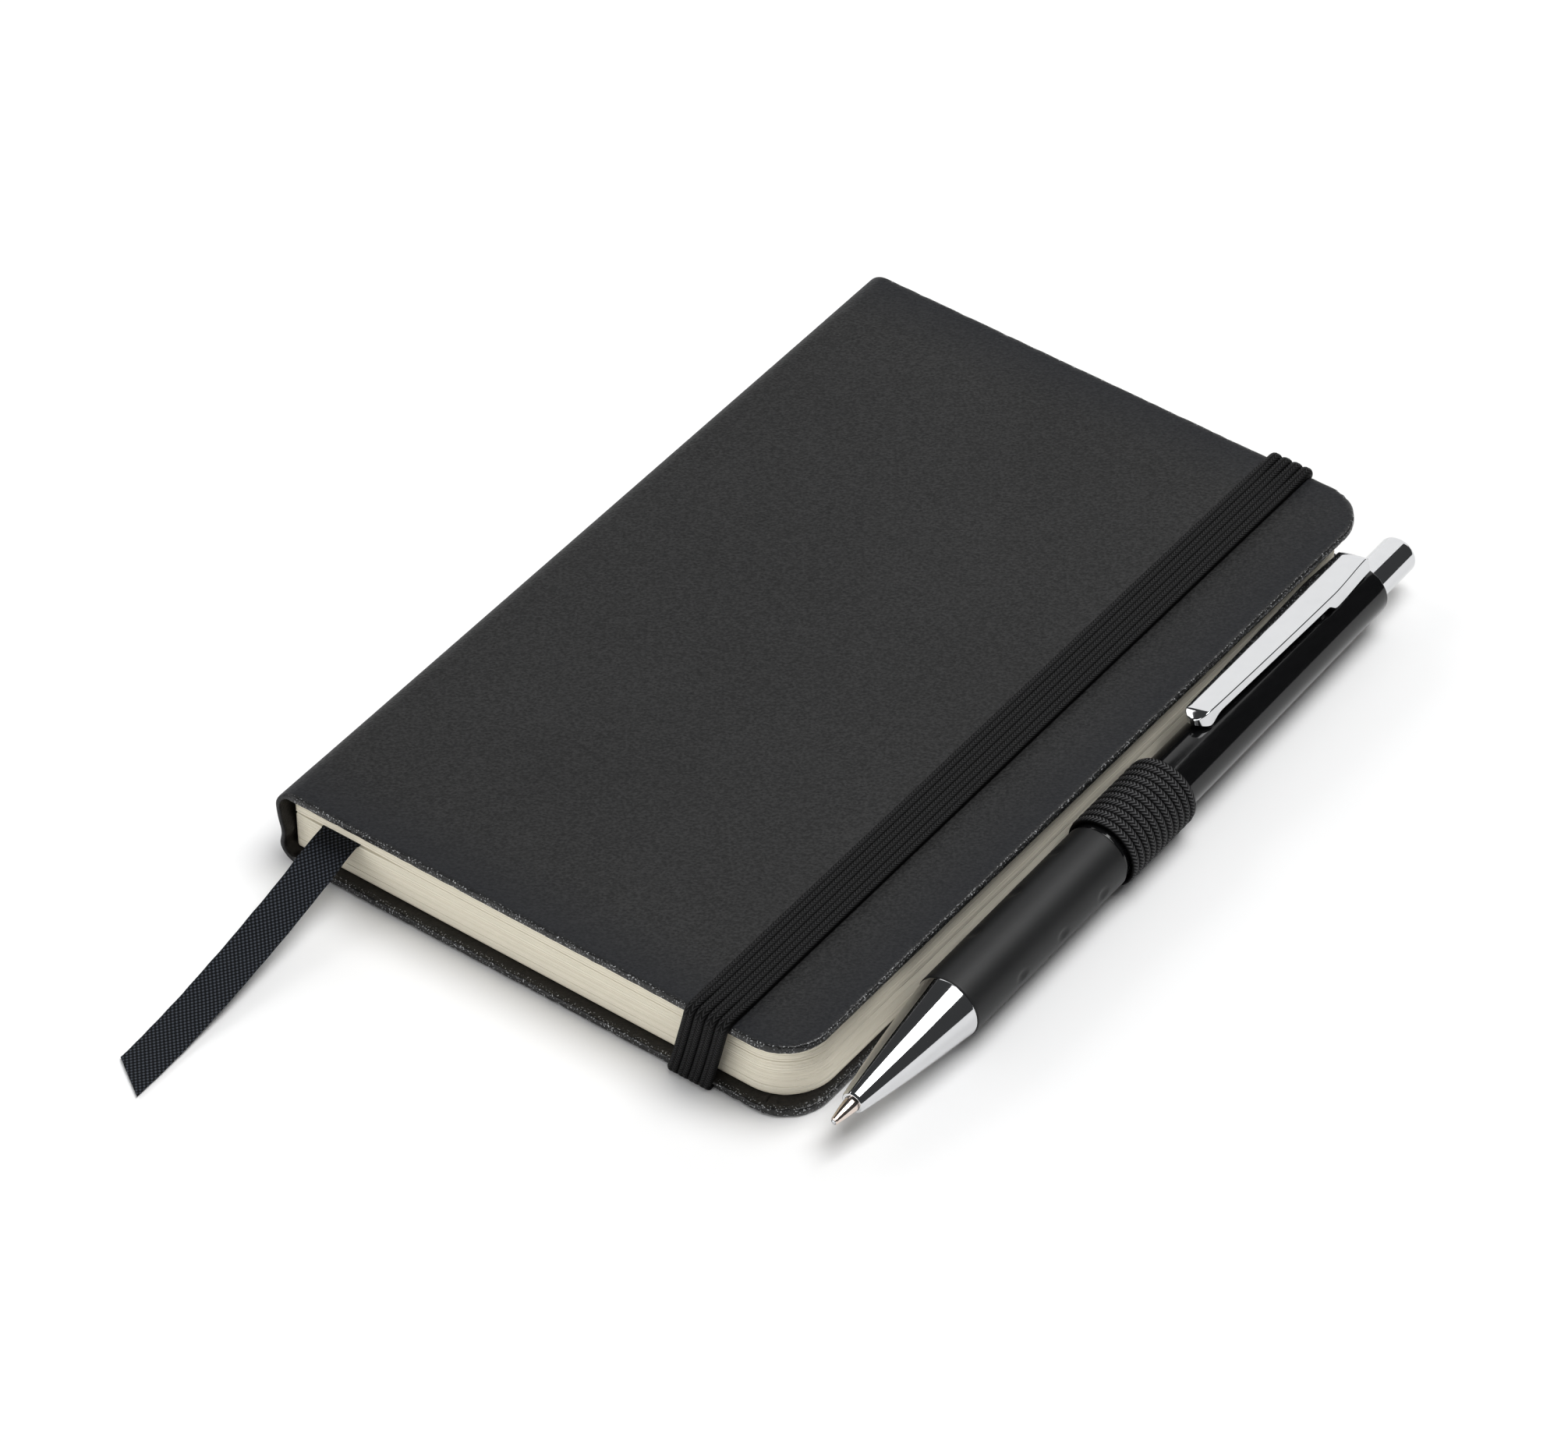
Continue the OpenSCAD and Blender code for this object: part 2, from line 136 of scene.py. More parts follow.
class Surface:
    """One procedural material: its shader, and short calls that add nodes to it"""

    def __init__(self, name, **constants):
        self.material = bpy.data.materials.new(name)
        self.material.use_nodes = True
        self.tree = self.material.node_tree
        self.shader = self.tree.nodes["Principled BSDF"]
        for key, value in constants.items():
            self.shader.inputs[key.replace("_", " ")].default_value = value

    def node(self, kind, inputs=None, **settings):
        node = self.tree.nodes.new("ShaderNode" + kind)
        for key, value in settings.items():
            setattr(node, key, value)
        for key, value in (inputs or {}).items():
            if isinstance(value, bpy.types.NodeSocket):
                self.tree.links.new(value, node.inputs[key])
            else:
                node.inputs[key].default_value = value
        return node

    def place(self, scale=(1, 1, 1), turn=(0, 0, 0)):
        """Object position in millimetres, turned and then scaled along each axis"""
        origin = self.node("TexCoord").outputs["Object"]
        sizes = tuple(MM / s for s in scale)
        return self.node("Mapping", {"Vector": origin, "Scale": sizes, "Rotation": turn},
                         vector_type="TEXTURE").outputs[0]

    def field(self, name):
        """A number that make_piece stored per point"""
        return self.node("Attribute", attribute_name=name).outputs["Fac"]

    def strap_run(self):
        """Distances across and along a strap, in millimetres"""
        strap = self.node("Attribute", attribute_name="strap").outputs["Vector"]
        return self.node("SeparateXYZ", {0: strap}).outputs[:2]

    def noise(self, place, scale, detail=3.0, roughness=0.5):
        return self.node("TexNoise", {"Vector": place, "Scale": scale, "Detail": detail,
                                      "Roughness": roughness}).outputs["Fac"]

    def cells(self, place, scale, feature="F1"):
        return self.node("TexVoronoi", {"Vector": place, "Scale": scale},
                         feature=feature).outputs["Distance"]

    def math(self, operation, a, b=0.0):
        return self.node("Math", {0: a, 1: b}, operation=operation).outputs[0]

    def times(self, a, b):
        return self.math("MULTIPLY", a, b)

    def plus(self, a, b):
        return self.math("ADD", a, b)

    def span(self, value, a, b, to_a=0.0, to_b=1.0):
        """Maps a to b onto to_a to to_b, held at the ends"""
        return self.node("MapRange", {"Value": value, "From Min": a, "From Max": b, "To Min": to_a,
                                      "To Max": to_b}).outputs[0]

    def vary(self, noise_value, to_a, to_b):
        """Maps the usual range of a noise onto to_a to to_b"""
        return self.span(noise_value, 0.3, 0.7, to_a, to_b)

    def mix(self, factor, a, b):
        return self.node("Mix", {0: factor, 6: (*a, 1) if isinstance(a, tuple) else a,
                                 7: (*b, 1) if isinstance(b, tuple) else b},
                         data_type="RGBA").outputs[2]

    def bump(self, height, distance, strength=1.0, normal=None):
        """Normals of a surface that a height raises by up to distance, in millimetres"""
        inputs = {"Height": height, "Distance": distance * MM, "Strength": strength}
        if normal is not None:
            inputs["Normal"] = normal
        return self.node("Bump", inputs).outputs[0]

    def set(self, **sockets):
        for key, value in sockets.items():
            self.tree.links.new(value, self.shader.inputs[key.replace("_", " ")])
        return self.material


DEEP_BLACK = (0.0004, 0.0004, 0.0005)
GRAIN_TURN = math.radians(37)
GRAIN_SIZE = (2.0, 3.0, 2.5)


def leatherette():
    """Fine-grained black, its grain painted lighter on top and darker in the pores as light and shade:
    bluer by the rim, browner where turned in, glossy on the edge with painted glints there
    """
    s = Surface("leatherette", Specular_IOR_Level=0.24, Coat_Roughness=0.1)
    grain_place = s.place(GRAIN_SIZE, (0, 0, GRAIN_TURN))
    grain = s.noise(grain_place, 1.0, 3.0, 0.65)
    pores = s.cells(grain_place, 0.95, "SMOOTH_F1")
    drift = s.noise(s.place(), 0.045, 2.0)
    wrinkle = s.noise(s.place(), 1.5, 3.0, 0.7)
    rim, turned, edge = s.field("rim"), s.field("turned"), s.field("edge")
    light = s.vary(drift, 0.0, 0.18)
    # The grain's relief is painted in: raised parts painted lighter as light, pores painted near black as
    # shade; drift adds a slow random tone
    face = s.mix(s.plus(s.span(grain, 0.38, 0.62, 0.0, 0.82), light),
                 (0.0028, 0.0028, 0.0029), (0.0212, 0.0212, 0.0214))
    face = s.mix(s.span(pores, 0.08, 0.40, 1.0, 0.0), face, (0.0008, 0.0008, 0.0009))
    face = s.mix(s.span(rim, 0.0, 0.9, 0.0, 0.65), face, (0.0022, 0.0033, 0.0065))
    inner = s.mix(s.span(wrinkle, 0.35, 0.65), (0.0050, 0.0040, 0.0032), (0.0125, 0.0100, 0.0078))
    colour = s.mix(edge, s.mix(turned, face, inner), (0.0012, 0.0012, 0.0012))
    # Painted glints: sparse light grey specks painted on the rounded edge, where its crinkled coat would
    # catch the light
    glint_spots = s.span(s.noise(s.place(), 3.8, 1.0), 0.62, 0.68)
    painted_glints = s.times(s.span(edge, 0.5, 0.85), glint_spots)
    colour = s.mix(painted_glints, colour, (0.36, 0.37, 0.38))
    height = s.math("SUBTRACT", grain, s.times(pores, 0.5))
    fine = s.bump(height, 0.09, 1.0)
    gloss = s.math("MAXIMUM", s.times(edge, 0.7), s.times(turned, 0.22))
    crinkle = s.bump(s.noise(s.place(), 1.7, 1.0, 0.6), 0.13, 1.0)
    return s.set(Base_Color=colour, Roughness=s.vary(grain, 0.64, 0.52), Normal=fine,
                 Coat_Weight=s.times(gloss, s.span(wrinkle, 0.38, 0.60, 0.3, 1.0)),
                 Coat_Normal=crinkle)


def paper(name, light, dark):
    """Uncoated paper with faint fibres"""
    s = Surface(name, Specular_IOR_Level=0.25)
    fibres = s.noise(s.place((3.0, 3.0, 3.0)), 1.0, 4.0, 0.7)
    cloud = s.noise(s.place(), 0.06, 2.0)
    tone = s.span(s.plus(fibres, cloud), 0.7, 1.3)
    colour = s.mix(tone, dark, light)
    return s.set(Base_Color=colour, Roughness=s.vary(fibres, 0.82, 0.92),
                 Normal=s.bump(fibres, 0.015, 0.4))


def page_edges():
    """Cut edges of the leaves: thin lines along the block, a little lighter or greyer from leaf to leaf,
    with painted shade in the gaps between them
    """
    s = Surface("page_paper", Specular_IOR_Level=0.2)
    lines = s.noise(s.place((0.035, 0.035, 9.0)), 1.0, 2.0, 0.6)
    bands = s.noise(s.place((0.02, 0.02, 1.3)), 1.0, 2.0)
    fibres = s.noise(s.place((2.0, 2.0, 2.0)), 1.0, 3.0, 0.6)
    tone = s.span(s.plus(lines, s.times(bands, 0.7)), 0.4, 1.3)
    groove = s.field("groove")
    colour = s.mix(tone, (0.85, 0.797, 0.667), (0.915, 0.866, 0.74))
    # Painted shade in the gaps between leaves and between sections, where the groove field is set
    colour = s.mix(s.times(groove, 0.06), colour, (0.42, 0.355, 0.24))
    return s.set(Base_Color=colour, Roughness=s.vary(fibres, 0.75, 0.9),
                 Normal=s.bump(lines, 0.012, 0.4, s.bump(fibres, 0.012, 0.4)))


def board():
    """Grey-brown bookbinding board with pressed fibres"""
    s = Surface("board", Specular_IOR_Level=0.2)
    fibres = s.noise(s.place((1.6, 1.6, 6.0)), 1.0, 5.0, 0.7)
    colour = s.mix(s.vary(fibres, 0.0, 1.0), (0.20, 0.16, 0.12), (0.34, 0.29, 0.225))
    return s.set(Base_Color=colour, Roughness=s.vary(fibres, 0.8, 0.95),
                 Normal=s.bump(fibres, 0.04, 0.6))


def lining():
    """Open-weave cloth glued over the folds of the sections"""
    s = Surface("lining", Specular_IOR_Level=0.2)
    place = s.node("SeparateXYZ", {0: s.place((2.2, 2.2, 2.2))}).outputs
    warp = s.math("SINE", s.times(place[1], math.tau))
    weft = s.math("SINE", s.times(place[2], math.tau))
    weave = s.math("MAXIMUM", warp, weft)
    colour = s.mix(s.span(weave, -0.4, 1.0), (0.45, 0.40, 0.31), (0.74, 0.69, 0.58))
    return s.set(Base_Color=colour, Roughness=s.span(weave, -1, 1, 0.95, 0.8),
                 Normal=s.bump(weave, 0.05, 0.6))


def elastic(name, rib, stitch, light):
    """Braided elastic: ribs along the strap, each of small slanting stitches, the relief painted in as
    light on the stitches and shade in the lines between ribs
    """
    s = Surface(name, Specular_IOR_Level=0.1)
    across, along = s.strap_run()
    column = s.math("DIVIDE", across, rib)
    slant = s.math("PINGPONG", column, 0.5)
    turn = s.plus(s.math("DIVIDE", along, stitch), s.times(slant, 2.2))
    stitches = s.math("SINE", s.times(turn, math.tau))
    crown = s.math("ABSOLUTE", s.math("SINE", s.times(column, math.pi)))
    crown = s.math("POWER", crown, 0.4)
    fuzz = s.noise(s.place((5, 5, 5)), 1.0, 3.0, 0.7)
    height = s.times(crown, s.plus(s.times(stitches, 0.6), 1.0))
    height = s.plus(height, s.times(fuzz, 0.5))
    # The braid's relief is painted in: stitches on the ribs' crowns painted lighter as light, the lines
    # between ribs painted dark as shade
    tone = s.span(height, 0.85, 1.75)
    colour = s.mix(tone, DEEP_BLACK, (light, light, light * 1.03))
    # Painted shade: the valleys between paired ribs are painted near black
    colour = s.mix(s.field("valley"), colour, DEEP_BLACK)
    return s.set(Base_Color=colour, Roughness=s.vary(fuzz, 0.5, 0.7),
                 Normal=s.bump(height, 0.10, 1.0))


def satin_ribbon(name, flat=False):
    """Black ribbon: staggered floats of yarn painted lighter as their sheen, the ground between them
    darker as shade; flat takes the weave from position
    """
    s = Surface(name, Specular_IOR_Level=0.08)
    across, along = s.node("SeparateXYZ", {0: s.place()}).outputs[:2] if flat else s.strap_run()
    yarn, pick = 0.72, 0.84
    floats = s.times(s.math("COSINE", s.times(across, math.tau / yarn)),
                    s.math("COSINE", s.times(along, math.tau / pick)))
    fuzz = s.noise(s.place((5, 5, 5)), 1.0, 3.0, 0.7)
    height = s.plus(floats, s.times(fuzz, 0.5))
    # The weave's relief is painted in: raised floats painted lighter and bluer as sheen, the ground
    # between them dark as shade
    colour = s.mix(s.span(height, 0.15, 1.15), (0.0012, 0.0018, 0.0030), (0.0520, 0.0600, 0.0740))
    return s.set(Base_Color=colour, Roughness=s.span(height, -0.6, 1.4, 0.6, 0.42),
                 Normal=s.bump(height, 0.05, 0.9))


def gloss_black():
    """Lacquered black tube with faint handling marks"""
    s = Surface("gloss_black", Specular_IOR_Level=0.4)
    ripple = s.noise(s.place(), 0.5, 2.0)
    marks = s.noise(s.place((4, 0.4, 4)), 1.0, 4.0, 0.7)
    colour = s.mix(s.span(marks, 0.4, 0.8), (0.0030, 0.0031, 0.0034), (0.0055, 0.0056, 0.0060))
    return s.set(Base_Color=colour, Roughness=s.span(marks, 0.35, 0.75, 0.09, 0.14),
                 Normal=s.bump(ripple, 0.01, 0.35))


def grip_rubber():
    """Soft matt rubber"""
    s = Surface("grip_rubber", Specular_IOR_Level=0.36)
    grain = s.noise(s.place((5, 5, 5)), 1.0, 3.0, 0.6)
    cloud = s.noise(s.place(), 0.15, 2.0)
    colour = s.mix(s.span(s.plus(grain, cloud), 0.7, 1.3), (0.0060, 0.0062, 0.0066),
                   (0.0100, 0.0103, 0.0107))
    return s.set(Base_Color=colour, Roughness=s.vary(grain, 0.46, 0.54),
                 Normal=s.bump(grain, 0.012, 0.5))


def metal(name, light, dark, rough, grain=(1, 1, 1), depth=0.003):
    """Plated or drawn metal: roughness and tone vary along fine marks"""
    s = Surface(name, Metallic=1.0)
    marks = s.noise(s.place(grain), 1.0, 4.0, 0.65)
    cloud = s.noise(s.place(), 0.3, 2.0)
    colour = s.mix(s.span(s.plus(marks, cloud), 0.7, 1.3), dark, light)
    return s.set(Base_Color=colour, Roughness=s.span(marks, 0.3, 0.75, rough * 0.7, rough * 1.4),
                 Normal=s.bump(marks, depth, 0.4))


def moulded_plastic(name, light, dark, see_through=0.0):
    """Moulded plastic with a faint orange-peel surface"""
    s = Surface(name, Specular_IOR_Level=0.5, Transmission_Weight=see_through)
    peel = s.noise(s.place(), 1.6, 3.0)
    flow = s.noise(s.place((0.6, 0.12, 0.6)), 1.0, 2.0)
    colour = s.mix(s.vary(flow, 0.0, 1.0), dark, light)
    return s.set(Base_Color=colour, Roughness=s.vary(peel, 0.28, 0.4),
                 Normal=s.bump(peel, 0.01, 0.5))


LEATHERETTE = leatherette()
PAPER = paper("endpaper", (0.83, 0.775, 0.645), (0.74, 0.68, 0.545))
PAGES = page_edges()
BOARD = board()
LINING = lining()
BAND_RIBS, LOOP_RIBS = 8, 11
LOOP_W = 15.6
BAND_ELASTIC = elastic("elastic", BAND_W / BAND_RIBS, 0.55, 0.030)
LOOP_ELASTIC = elastic("loop_elastic", LOOP_W / LOOP_RIBS, 0.6, 0.085)
RIBBON = satin_ribbon("ribbon")
RIBBON_INNER = satin_ribbon("ribbon_inner", flat=True)
GLOSS_BLACK = gloss_black()
RUBBER = grip_rubber()
CHROME = metal("chrome", (0.665, 0.67, 0.68), (0.64, 0.645, 0.655), 0.055, (0.8, 0.8, 0.8), 0.0015)
NICKEL = metal("nickel", (0.80, 0.69, 0.62), (0.70, 0.59, 0.53), 0.14, (3, 0.5, 3))
SPRING_STEEL = metal("spring_steel", (0.60, 0.61, 0.63), (0.45, 0.46, 0.48), 0.22, (3, 3, 3))
CAM_PLASTIC = moulded_plastic("cam_plastic", (0.70, 0.70, 0.66), (0.60, 0.60, 0.57))
REFILL_PLASTIC = moulded_plastic("refill_plastic", (0.74, 0.78, 0.82), (0.60, 0.65, 0.70), 0.2)

# ---- mesh helpers ----

STRAIGHT = 0.02  # half angle from straight that needs no fillet, in radians
FILLET_SHARE = 0.48  # most of each side that a fillet may take


def make_piece(name, points, faces, material, body=None, stands_for=(), sharp=38, fields=None):
    """A mesh from points in millimetres, with fields of values per point that its material reads"""
    mesh = bpy.data.meshes.new(name)
    mesh.from_pydata((np.asarray(points, float) * MM).tolist(), [], [list(map(int, f)) for f in faces])
    shell = bmesh.new()
    shell.from_mesh(mesh)
    bmesh.ops.recalc_face_normals(shell, faces=shell.faces)
    shell.to_mesh(mesh)
    shell.free()
    for key, values in (fields or {}).items():
        values = np.asarray(values, np.float32)
        if values.ndim == 1:
            mesh.attributes.new(key, "FLOAT", "POINT").data.foreach_set("value", values)
        else:
            mesh.attributes.new(key, "FLOAT_VECTOR", "POINT").data.foreach_set("vector", values.ravel())
    mesh.shade_smooth()
    mesh.set_sharp_from_angle(angle=math.radians(sharp))
    mesh.materials.append(material)
    piece = linked(bpy.data.objects.new(name, mesh))
    if stands_for:
        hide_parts(*stands_for)
    if body:
        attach(piece, body)
    return piece


def bridge(a, b, closed=True):
    """Quads between two rows of point numbers"""
    count = len(a)
    last = count if closed else count - 1
    return [(a[i], a[(i + 1) % count], b[(i + 1) % count], b[i]) for i in range(last)]


def rings_to_faces(rings, size, closed=True):
    """Quads between a number of rings that each have size points"""
    rows = [np.arange(size) + size * k for k in range(rings)]
    return [f for k in range(rings - 1) for f in bridge(rows[k], rows[k + 1], closed)]


def fillet(points, radii, steps=6):
    """A polyline with each inner corner rounded to its radius"""
    points = [np.array(p, float) for p in points]
    out = [points[0]]
    for before, here, after, radius in zip(points, points[1:], points[2:], radii):
        u, v = before - here, after - here
        length_u, length_v = np.linalg.norm(u), np.linalg.norm(v)
        u, v = u / length_u, v / length_v
        half = math.acos(np.clip(u @ v, -1, 1)) / 2
        if radius <= 0 or half > math.pi / 2 - STRAIGHT:
            out.append(here)
            continue
        reach = min(radius / math.tan(half), FILLET_SHARE * length_u, FILLET_SHARE * length_v)
        start, end = here + u * reach, here + v * reach
        for t in np.linspace(0, 1, steps + 1):
            out.append((1 - t) ** 2 * start + 2 * t * (1 - t) * here + t * t * end)
    return np.array(out + [points[-1]])


def end_caps(rings, size):
    """The two flat faces that close a row of rings"""
    return [range(size), range((rings - 1) * size, rings * size)]


def densify(points, step):
    """Adds points along a polyline so that none are further apart than step"""
    out = [points[0]]
    for a, b in zip(points, points[1:]):
        count = max(1, int(math.ceil(np.linalg.norm(b - a) / step)))
        out += [a + (b - a) * k / count for k in range(1, count + 1)]
    return np.array(out)


def on_pen(along, radius, angle):
    """Point at a distance along the pen's axis, a radius from it and an angle from up towards +X"""
    along, radius, angle = np.broadcast_arrays(along, radius, angle)
    return (PEN_POINT + along[..., None] * PEN_AXIS
            + (radius * np.sin(angle))[..., None] * PEN_SIDE
            + (radius * np.cos(angle))[..., None] * UP)


def lathe(name, outline, material, body, stands_for, closed=False, sides=96, shape=None, sharp=38):
    """Turns an outline of (radius, distance along) round the pen's axis; shape may change the radii"""
    outline = np.asarray(outline, float)
    angles = np.arange(sides) * math.tau / sides
    points, rows = [], []
    for radius, along in outline:
        if radius < 1e-6:
            rows.append(np.full(sides, len(points)))
            points.append(on_pen(along, 0.0, 0.0))
            continue
        radii = np.full(sides, radius)
        if shape is not None:
            radii = shape(radii, along, angles)
        rows.append(len(points) + np.arange(sides))
        points += list(on_pen(along, radii, angles))
    faces = []
    if closed:
        rows.append(rows[0])
    for a, b in zip(rows, rows[1:]):
        for face in bridge(a, b):
            face = list(dict.fromkeys(face))
            if len(face) > 2:
                faces.append(face)
    return make_piece(name, points, faces, material, body, stands_for, sharp)


def unit(vectors):
    """Rows scaled to length 1"""
    return vectors / np.linalg.norm(vectors, axis=1)[:, None]


def distances(path):
    """How far along a path each of its points lies"""
    return np.concatenate([[0], np.cumsum(np.linalg.norm(np.diff(path, axis=0), axis=1))])


def smooth(value, start, end):
    """Eases from 0 at start to 1 at end"""
    t = np.clip((np.asarray(value, float) - start) / (end - start), 0, 1)
    return t * t * (3 - 2 * t)


# ---- ribbon ----

RIBBON_W, RIBBON_T = 6.5, 0.30
RIBBON_EXIT = (-36.1, -68.0, 7.844)
RIBBON_ROUTE = [
    RIBBON_EXIT, (-36.1, -70, 7.5), (-36.0, -73, 6.55), (-35.9, -76, 5.7), (-35.8, -79, 5.0),
    (-35.7, -82, 4.3), (-35.6, -85, 3.7), (-35.5, -88, 3.1), (-35.4, -91, 2.6), (-35.3, -94, 2.15),
    (-35.2, -97, 1.7), (-35.1, -100, 1.3), (-35.1, -103, 0.9), (-35.0, -106, 0.6),
    (-34.9, -109, 0.4), (-34.8, -112, 0.3), (-34.7, -115.7, 0.25)]
RIBBON_SLANT = 2.25  # half the cut's length along the ribbon
RIBBON_STEP = 0.7
RIBBON_EASING = 6  # rounds of smoothing of its route
FLOOR_CLEARANCE = 0.02


def add_ribbon():
    """The free end of the marker: a flat woven strip, a little cupped, cut on a slant"""
    across_count = 21
    centre = densify(np.array(RIBBON_ROUTE, float), RIBBON_STEP)
    for _ in range(RIBBON_EASING):
        centre[1:-1] = (centre[:-2] + 2 * centre[1:-1] + centre[2:]) / 4
    count = len(centre)
    run = distances(centre)
    tangent = unit(np.gradient(centre, axis=0))
    u = np.linspace(-1, 1, across_count)
    points, strap = [], []
    for i in range(count):
        side = np.array([-tangent[i][1], tangent[i][0], 0])
        side /= np.linalg.norm(side)
        if side[0] < 0:
            side = -side
        lift = np.cross(side, -tangent[i])
        lift *= np.sign(lift[2])
        share = run[i] / run[-1]
        half = RIBBON_T / 2 * (1 - 0.55 * np.abs(u) ** 8)
        cup = 0.22 * (u ** 2 - 0.4) * math.sin(math.pi * min(share * 1.3, 1))
        flutter = 0.05 * np.sin(run[i] * 0.55 + u * 1.7) * (1 - share)
        across = RIBBON_W / 2 * u * (1 + 0.006 * math.sin(run[i] * 9))
        slant = smooth(share, 0.8, 1.0) * RIBBON_SLANT * u
        bow = np.maximum(cup + flutter, -0.06)
        middle = centre[i] + np.outer(across, side) + np.outer(slant, tangent[i])
        points += list(middle + np.outer(bow + half, lift))
        points += list(middle + np.outer(bow - half, lift))[::-1]
        weave = list(zip(across, run[i] + slant, 0 * u))
        strap += weave + weave[::-1]
    size = 2 * across_count
    points = np.array(points)
    points[:, 2] = np.maximum(points[:, 2], FLOOR_CLEARANCE)
    faces = rings_to_faces(count, size) + end_caps(count, size)
    piece = make_piece("ribbon_tail_cloth", points, faces, RIBBON, "back_cover",
                       ["ribbon_tail"], fields={"strap": strap})


add_ribbon()

# ---- covers and spine ----

FLAT_END = SPINE_X + SPINE_R - SPINE_R * math.pi / 2 - (BOOK_T / 2 - SPINE_R)
ARC_STEPS = 72  # steps round each fore corner
NEAR_CORNER = 9  # stations between the fixed ones and a corner's arc
EDGE_R = 0.5  # how far the edge's rounding reaches in
CAP_INSET = 12.5  # where the grids that close the faces begin
TURN_IN = 12.0  # width of the turned-in strip
BOARD_TOP = 1.1  # underside of that strip, on the board
GROOVE = 0.65  # depth of the channel for the closure's ends
GROOVE_WALL = (0.1, 0.12)  # run of its side walls, towards the spine and the fore-edge
GROOVE_X = (BAND_END_X - BAND_W / 2 - 0.1, BAND_END_X + BAND_W / 2 + 0.1)
GROOVE_Y = HALF_H - 10.1  # its inner end


def skin_profile():
    """Section of the skin as (inset, depth from the outer face): outside, edge, turn-in and inside"""
    near_edge = (7, 5, 3.2, 2, 1.3, 0.9)
    groove_end = (10.4, 10.05)
    outside = [(inset, 0.0) for inset in (CAP_INSET, *groove_end, *near_edge)]
    half = TURN_Z / 2
    edge = [(EDGE_R * (1 - math.cos(t) ** 0.55), half + half * math.copysign(abs(math.sin(t)) ** 0.7, t))
            for t in np.radians(np.linspace(-87, 87, 13))]
    turn_in = [(inset, TURN_Z) for inset in (*near_edge[::-1], TURN_IN - 0.2)]
    turn_in += [(TURN_IN, TURN_Z - 0.03), (TURN_IN, BOARD_TOP + 0.03), (TURN_IN - 0.2, BOARD_TOP)]
    inside = [(7, BOARD_TOP), (3.2, BOARD_TOP), (0.8, 1.08), (0.5, 0.95), (0.42, 0.7), (0.5, 0.5),
              (0.8, 0.37)]
    inside += [(inset, SKIN_T) for inset in (3.2, 7, *groove_end[::-1], CAP_INSET)]
    return outside, edge, turn_in, inside


def x_stations():
    """Where the tail and head edges have their points: close round the spine and at the groove's walls"""
    spine = np.linspace(FLAT_END, SPINE_X + SPINE_R, 26)
    face = np.linspace(SPINE_X + SPINE_R, GROOVE_X[0] - GROOVE_WALL[0], 52)[1:]
    groove = [*np.linspace(*GROOVE_X, 6), GROOVE_X[1] + GROOVE_WALL[1]]
    return np.concatenate([spine, face, groove])


X_FIXED = x_stations()
Y_FIXED = np.linspace(0, 56.5, 44)


def cover_outline(inset):
    """Open outline at an inset, on the flat: along the tail, up the fore-edge and back along the head"""
    r = max(CORNER_R - inset, 0.35)
    x1, y1 = HALF_W - inset, HALF_H - inset
    xs = np.concatenate([X_FIXED, np.linspace(X_FIXED[-1], x1 - r, NEAR_CORNER)[1:]])
    tail = [(x, -y1) for x in xs]
    turn = np.linspace(0, math.pi / 2, ARC_STEPS + 1)[1:]
    arc = [(x1 - r + r * math.sin(t), r - y1 - r * math.cos(t)) for t in turn]
    ys = np.concatenate([np.linspace(y1 - r, Y_FIXED[-1], NEAR_CORNER)[1:], Y_FIXED[-2::-1]])
    lower = tail + arc + [(x1, -y) for y in ys]
    return np.array(lower + [(x, -y) for x, y in lower[-2::-1]])


TAIL_COUNT = len(X_FIXED) + NEAR_CORNER - 1
FORE_COUNT = 2 * (len(Y_FIXED) + NEAR_CORNER - 2) + 1
SPINE_THINNER = 0.37  # share of its thickness that the edge loses round the spine


def wrap(flat, grooved):
    """Puts flat points (x, y, depth) in place, bent round the spine's edge, with the groove pressed in"""
    x, y, depth = flat[:, 0], flat[:, 1], flat[:, 2].copy()
    centre = SPINE_X + SPINE_R
    depth *= 1 - SPINE_THINNER * smooth(-x, -centre + 0.6, -centre + 2.4)
    if grooved:
        reach = (smooth(x, GROOVE_X[0] - GROOVE_WALL[0], GROOVE_X[0])
                 * smooth(-x, -GROOVE_X[1] - GROOVE_WALL[1], -GROOVE_X[1])
                 * smooth(np.abs(y), GROOVE_Y - 0.3, GROOVE_Y))
        depth += GROOVE * reach * np.clip(1 - depth / TURN_Z, 0, 1)
    bend = np.clip(centre - x, 0, None)
    angle = np.minimum(bend / SPINE_R, math.pi / 2)
    rise = np.clip(bend - SPINE_R * math.pi / 2, 0, None)
    out_x = np.where(bend > 0, centre - SPINE_R * np.sin(angle) + depth * np.sin(angle), x)
    out_z = np.where(bend > 0, SPINE_R - (SPINE_R - depth) * np.cos(angle) + rise, depth)
    return np.column_stack([out_x, y, out_z])


def spine_waves(points):
    """Where nothing holds the skin, at the head and tail of the spine, it pulls in and bulges a little"""
    x, y, z = points.T
    free = smooth(np.abs(y), 48, HALF_H) * smooth(-x, 42.0, 45.0)
    pull = 0.55 * np.exp(-((z - 5.2) / 2.0) ** 2) - 0.12 * np.exp(-((z - 10.2) / 1.5) ** 2)
    points[:, 0] += free * pull
    return points


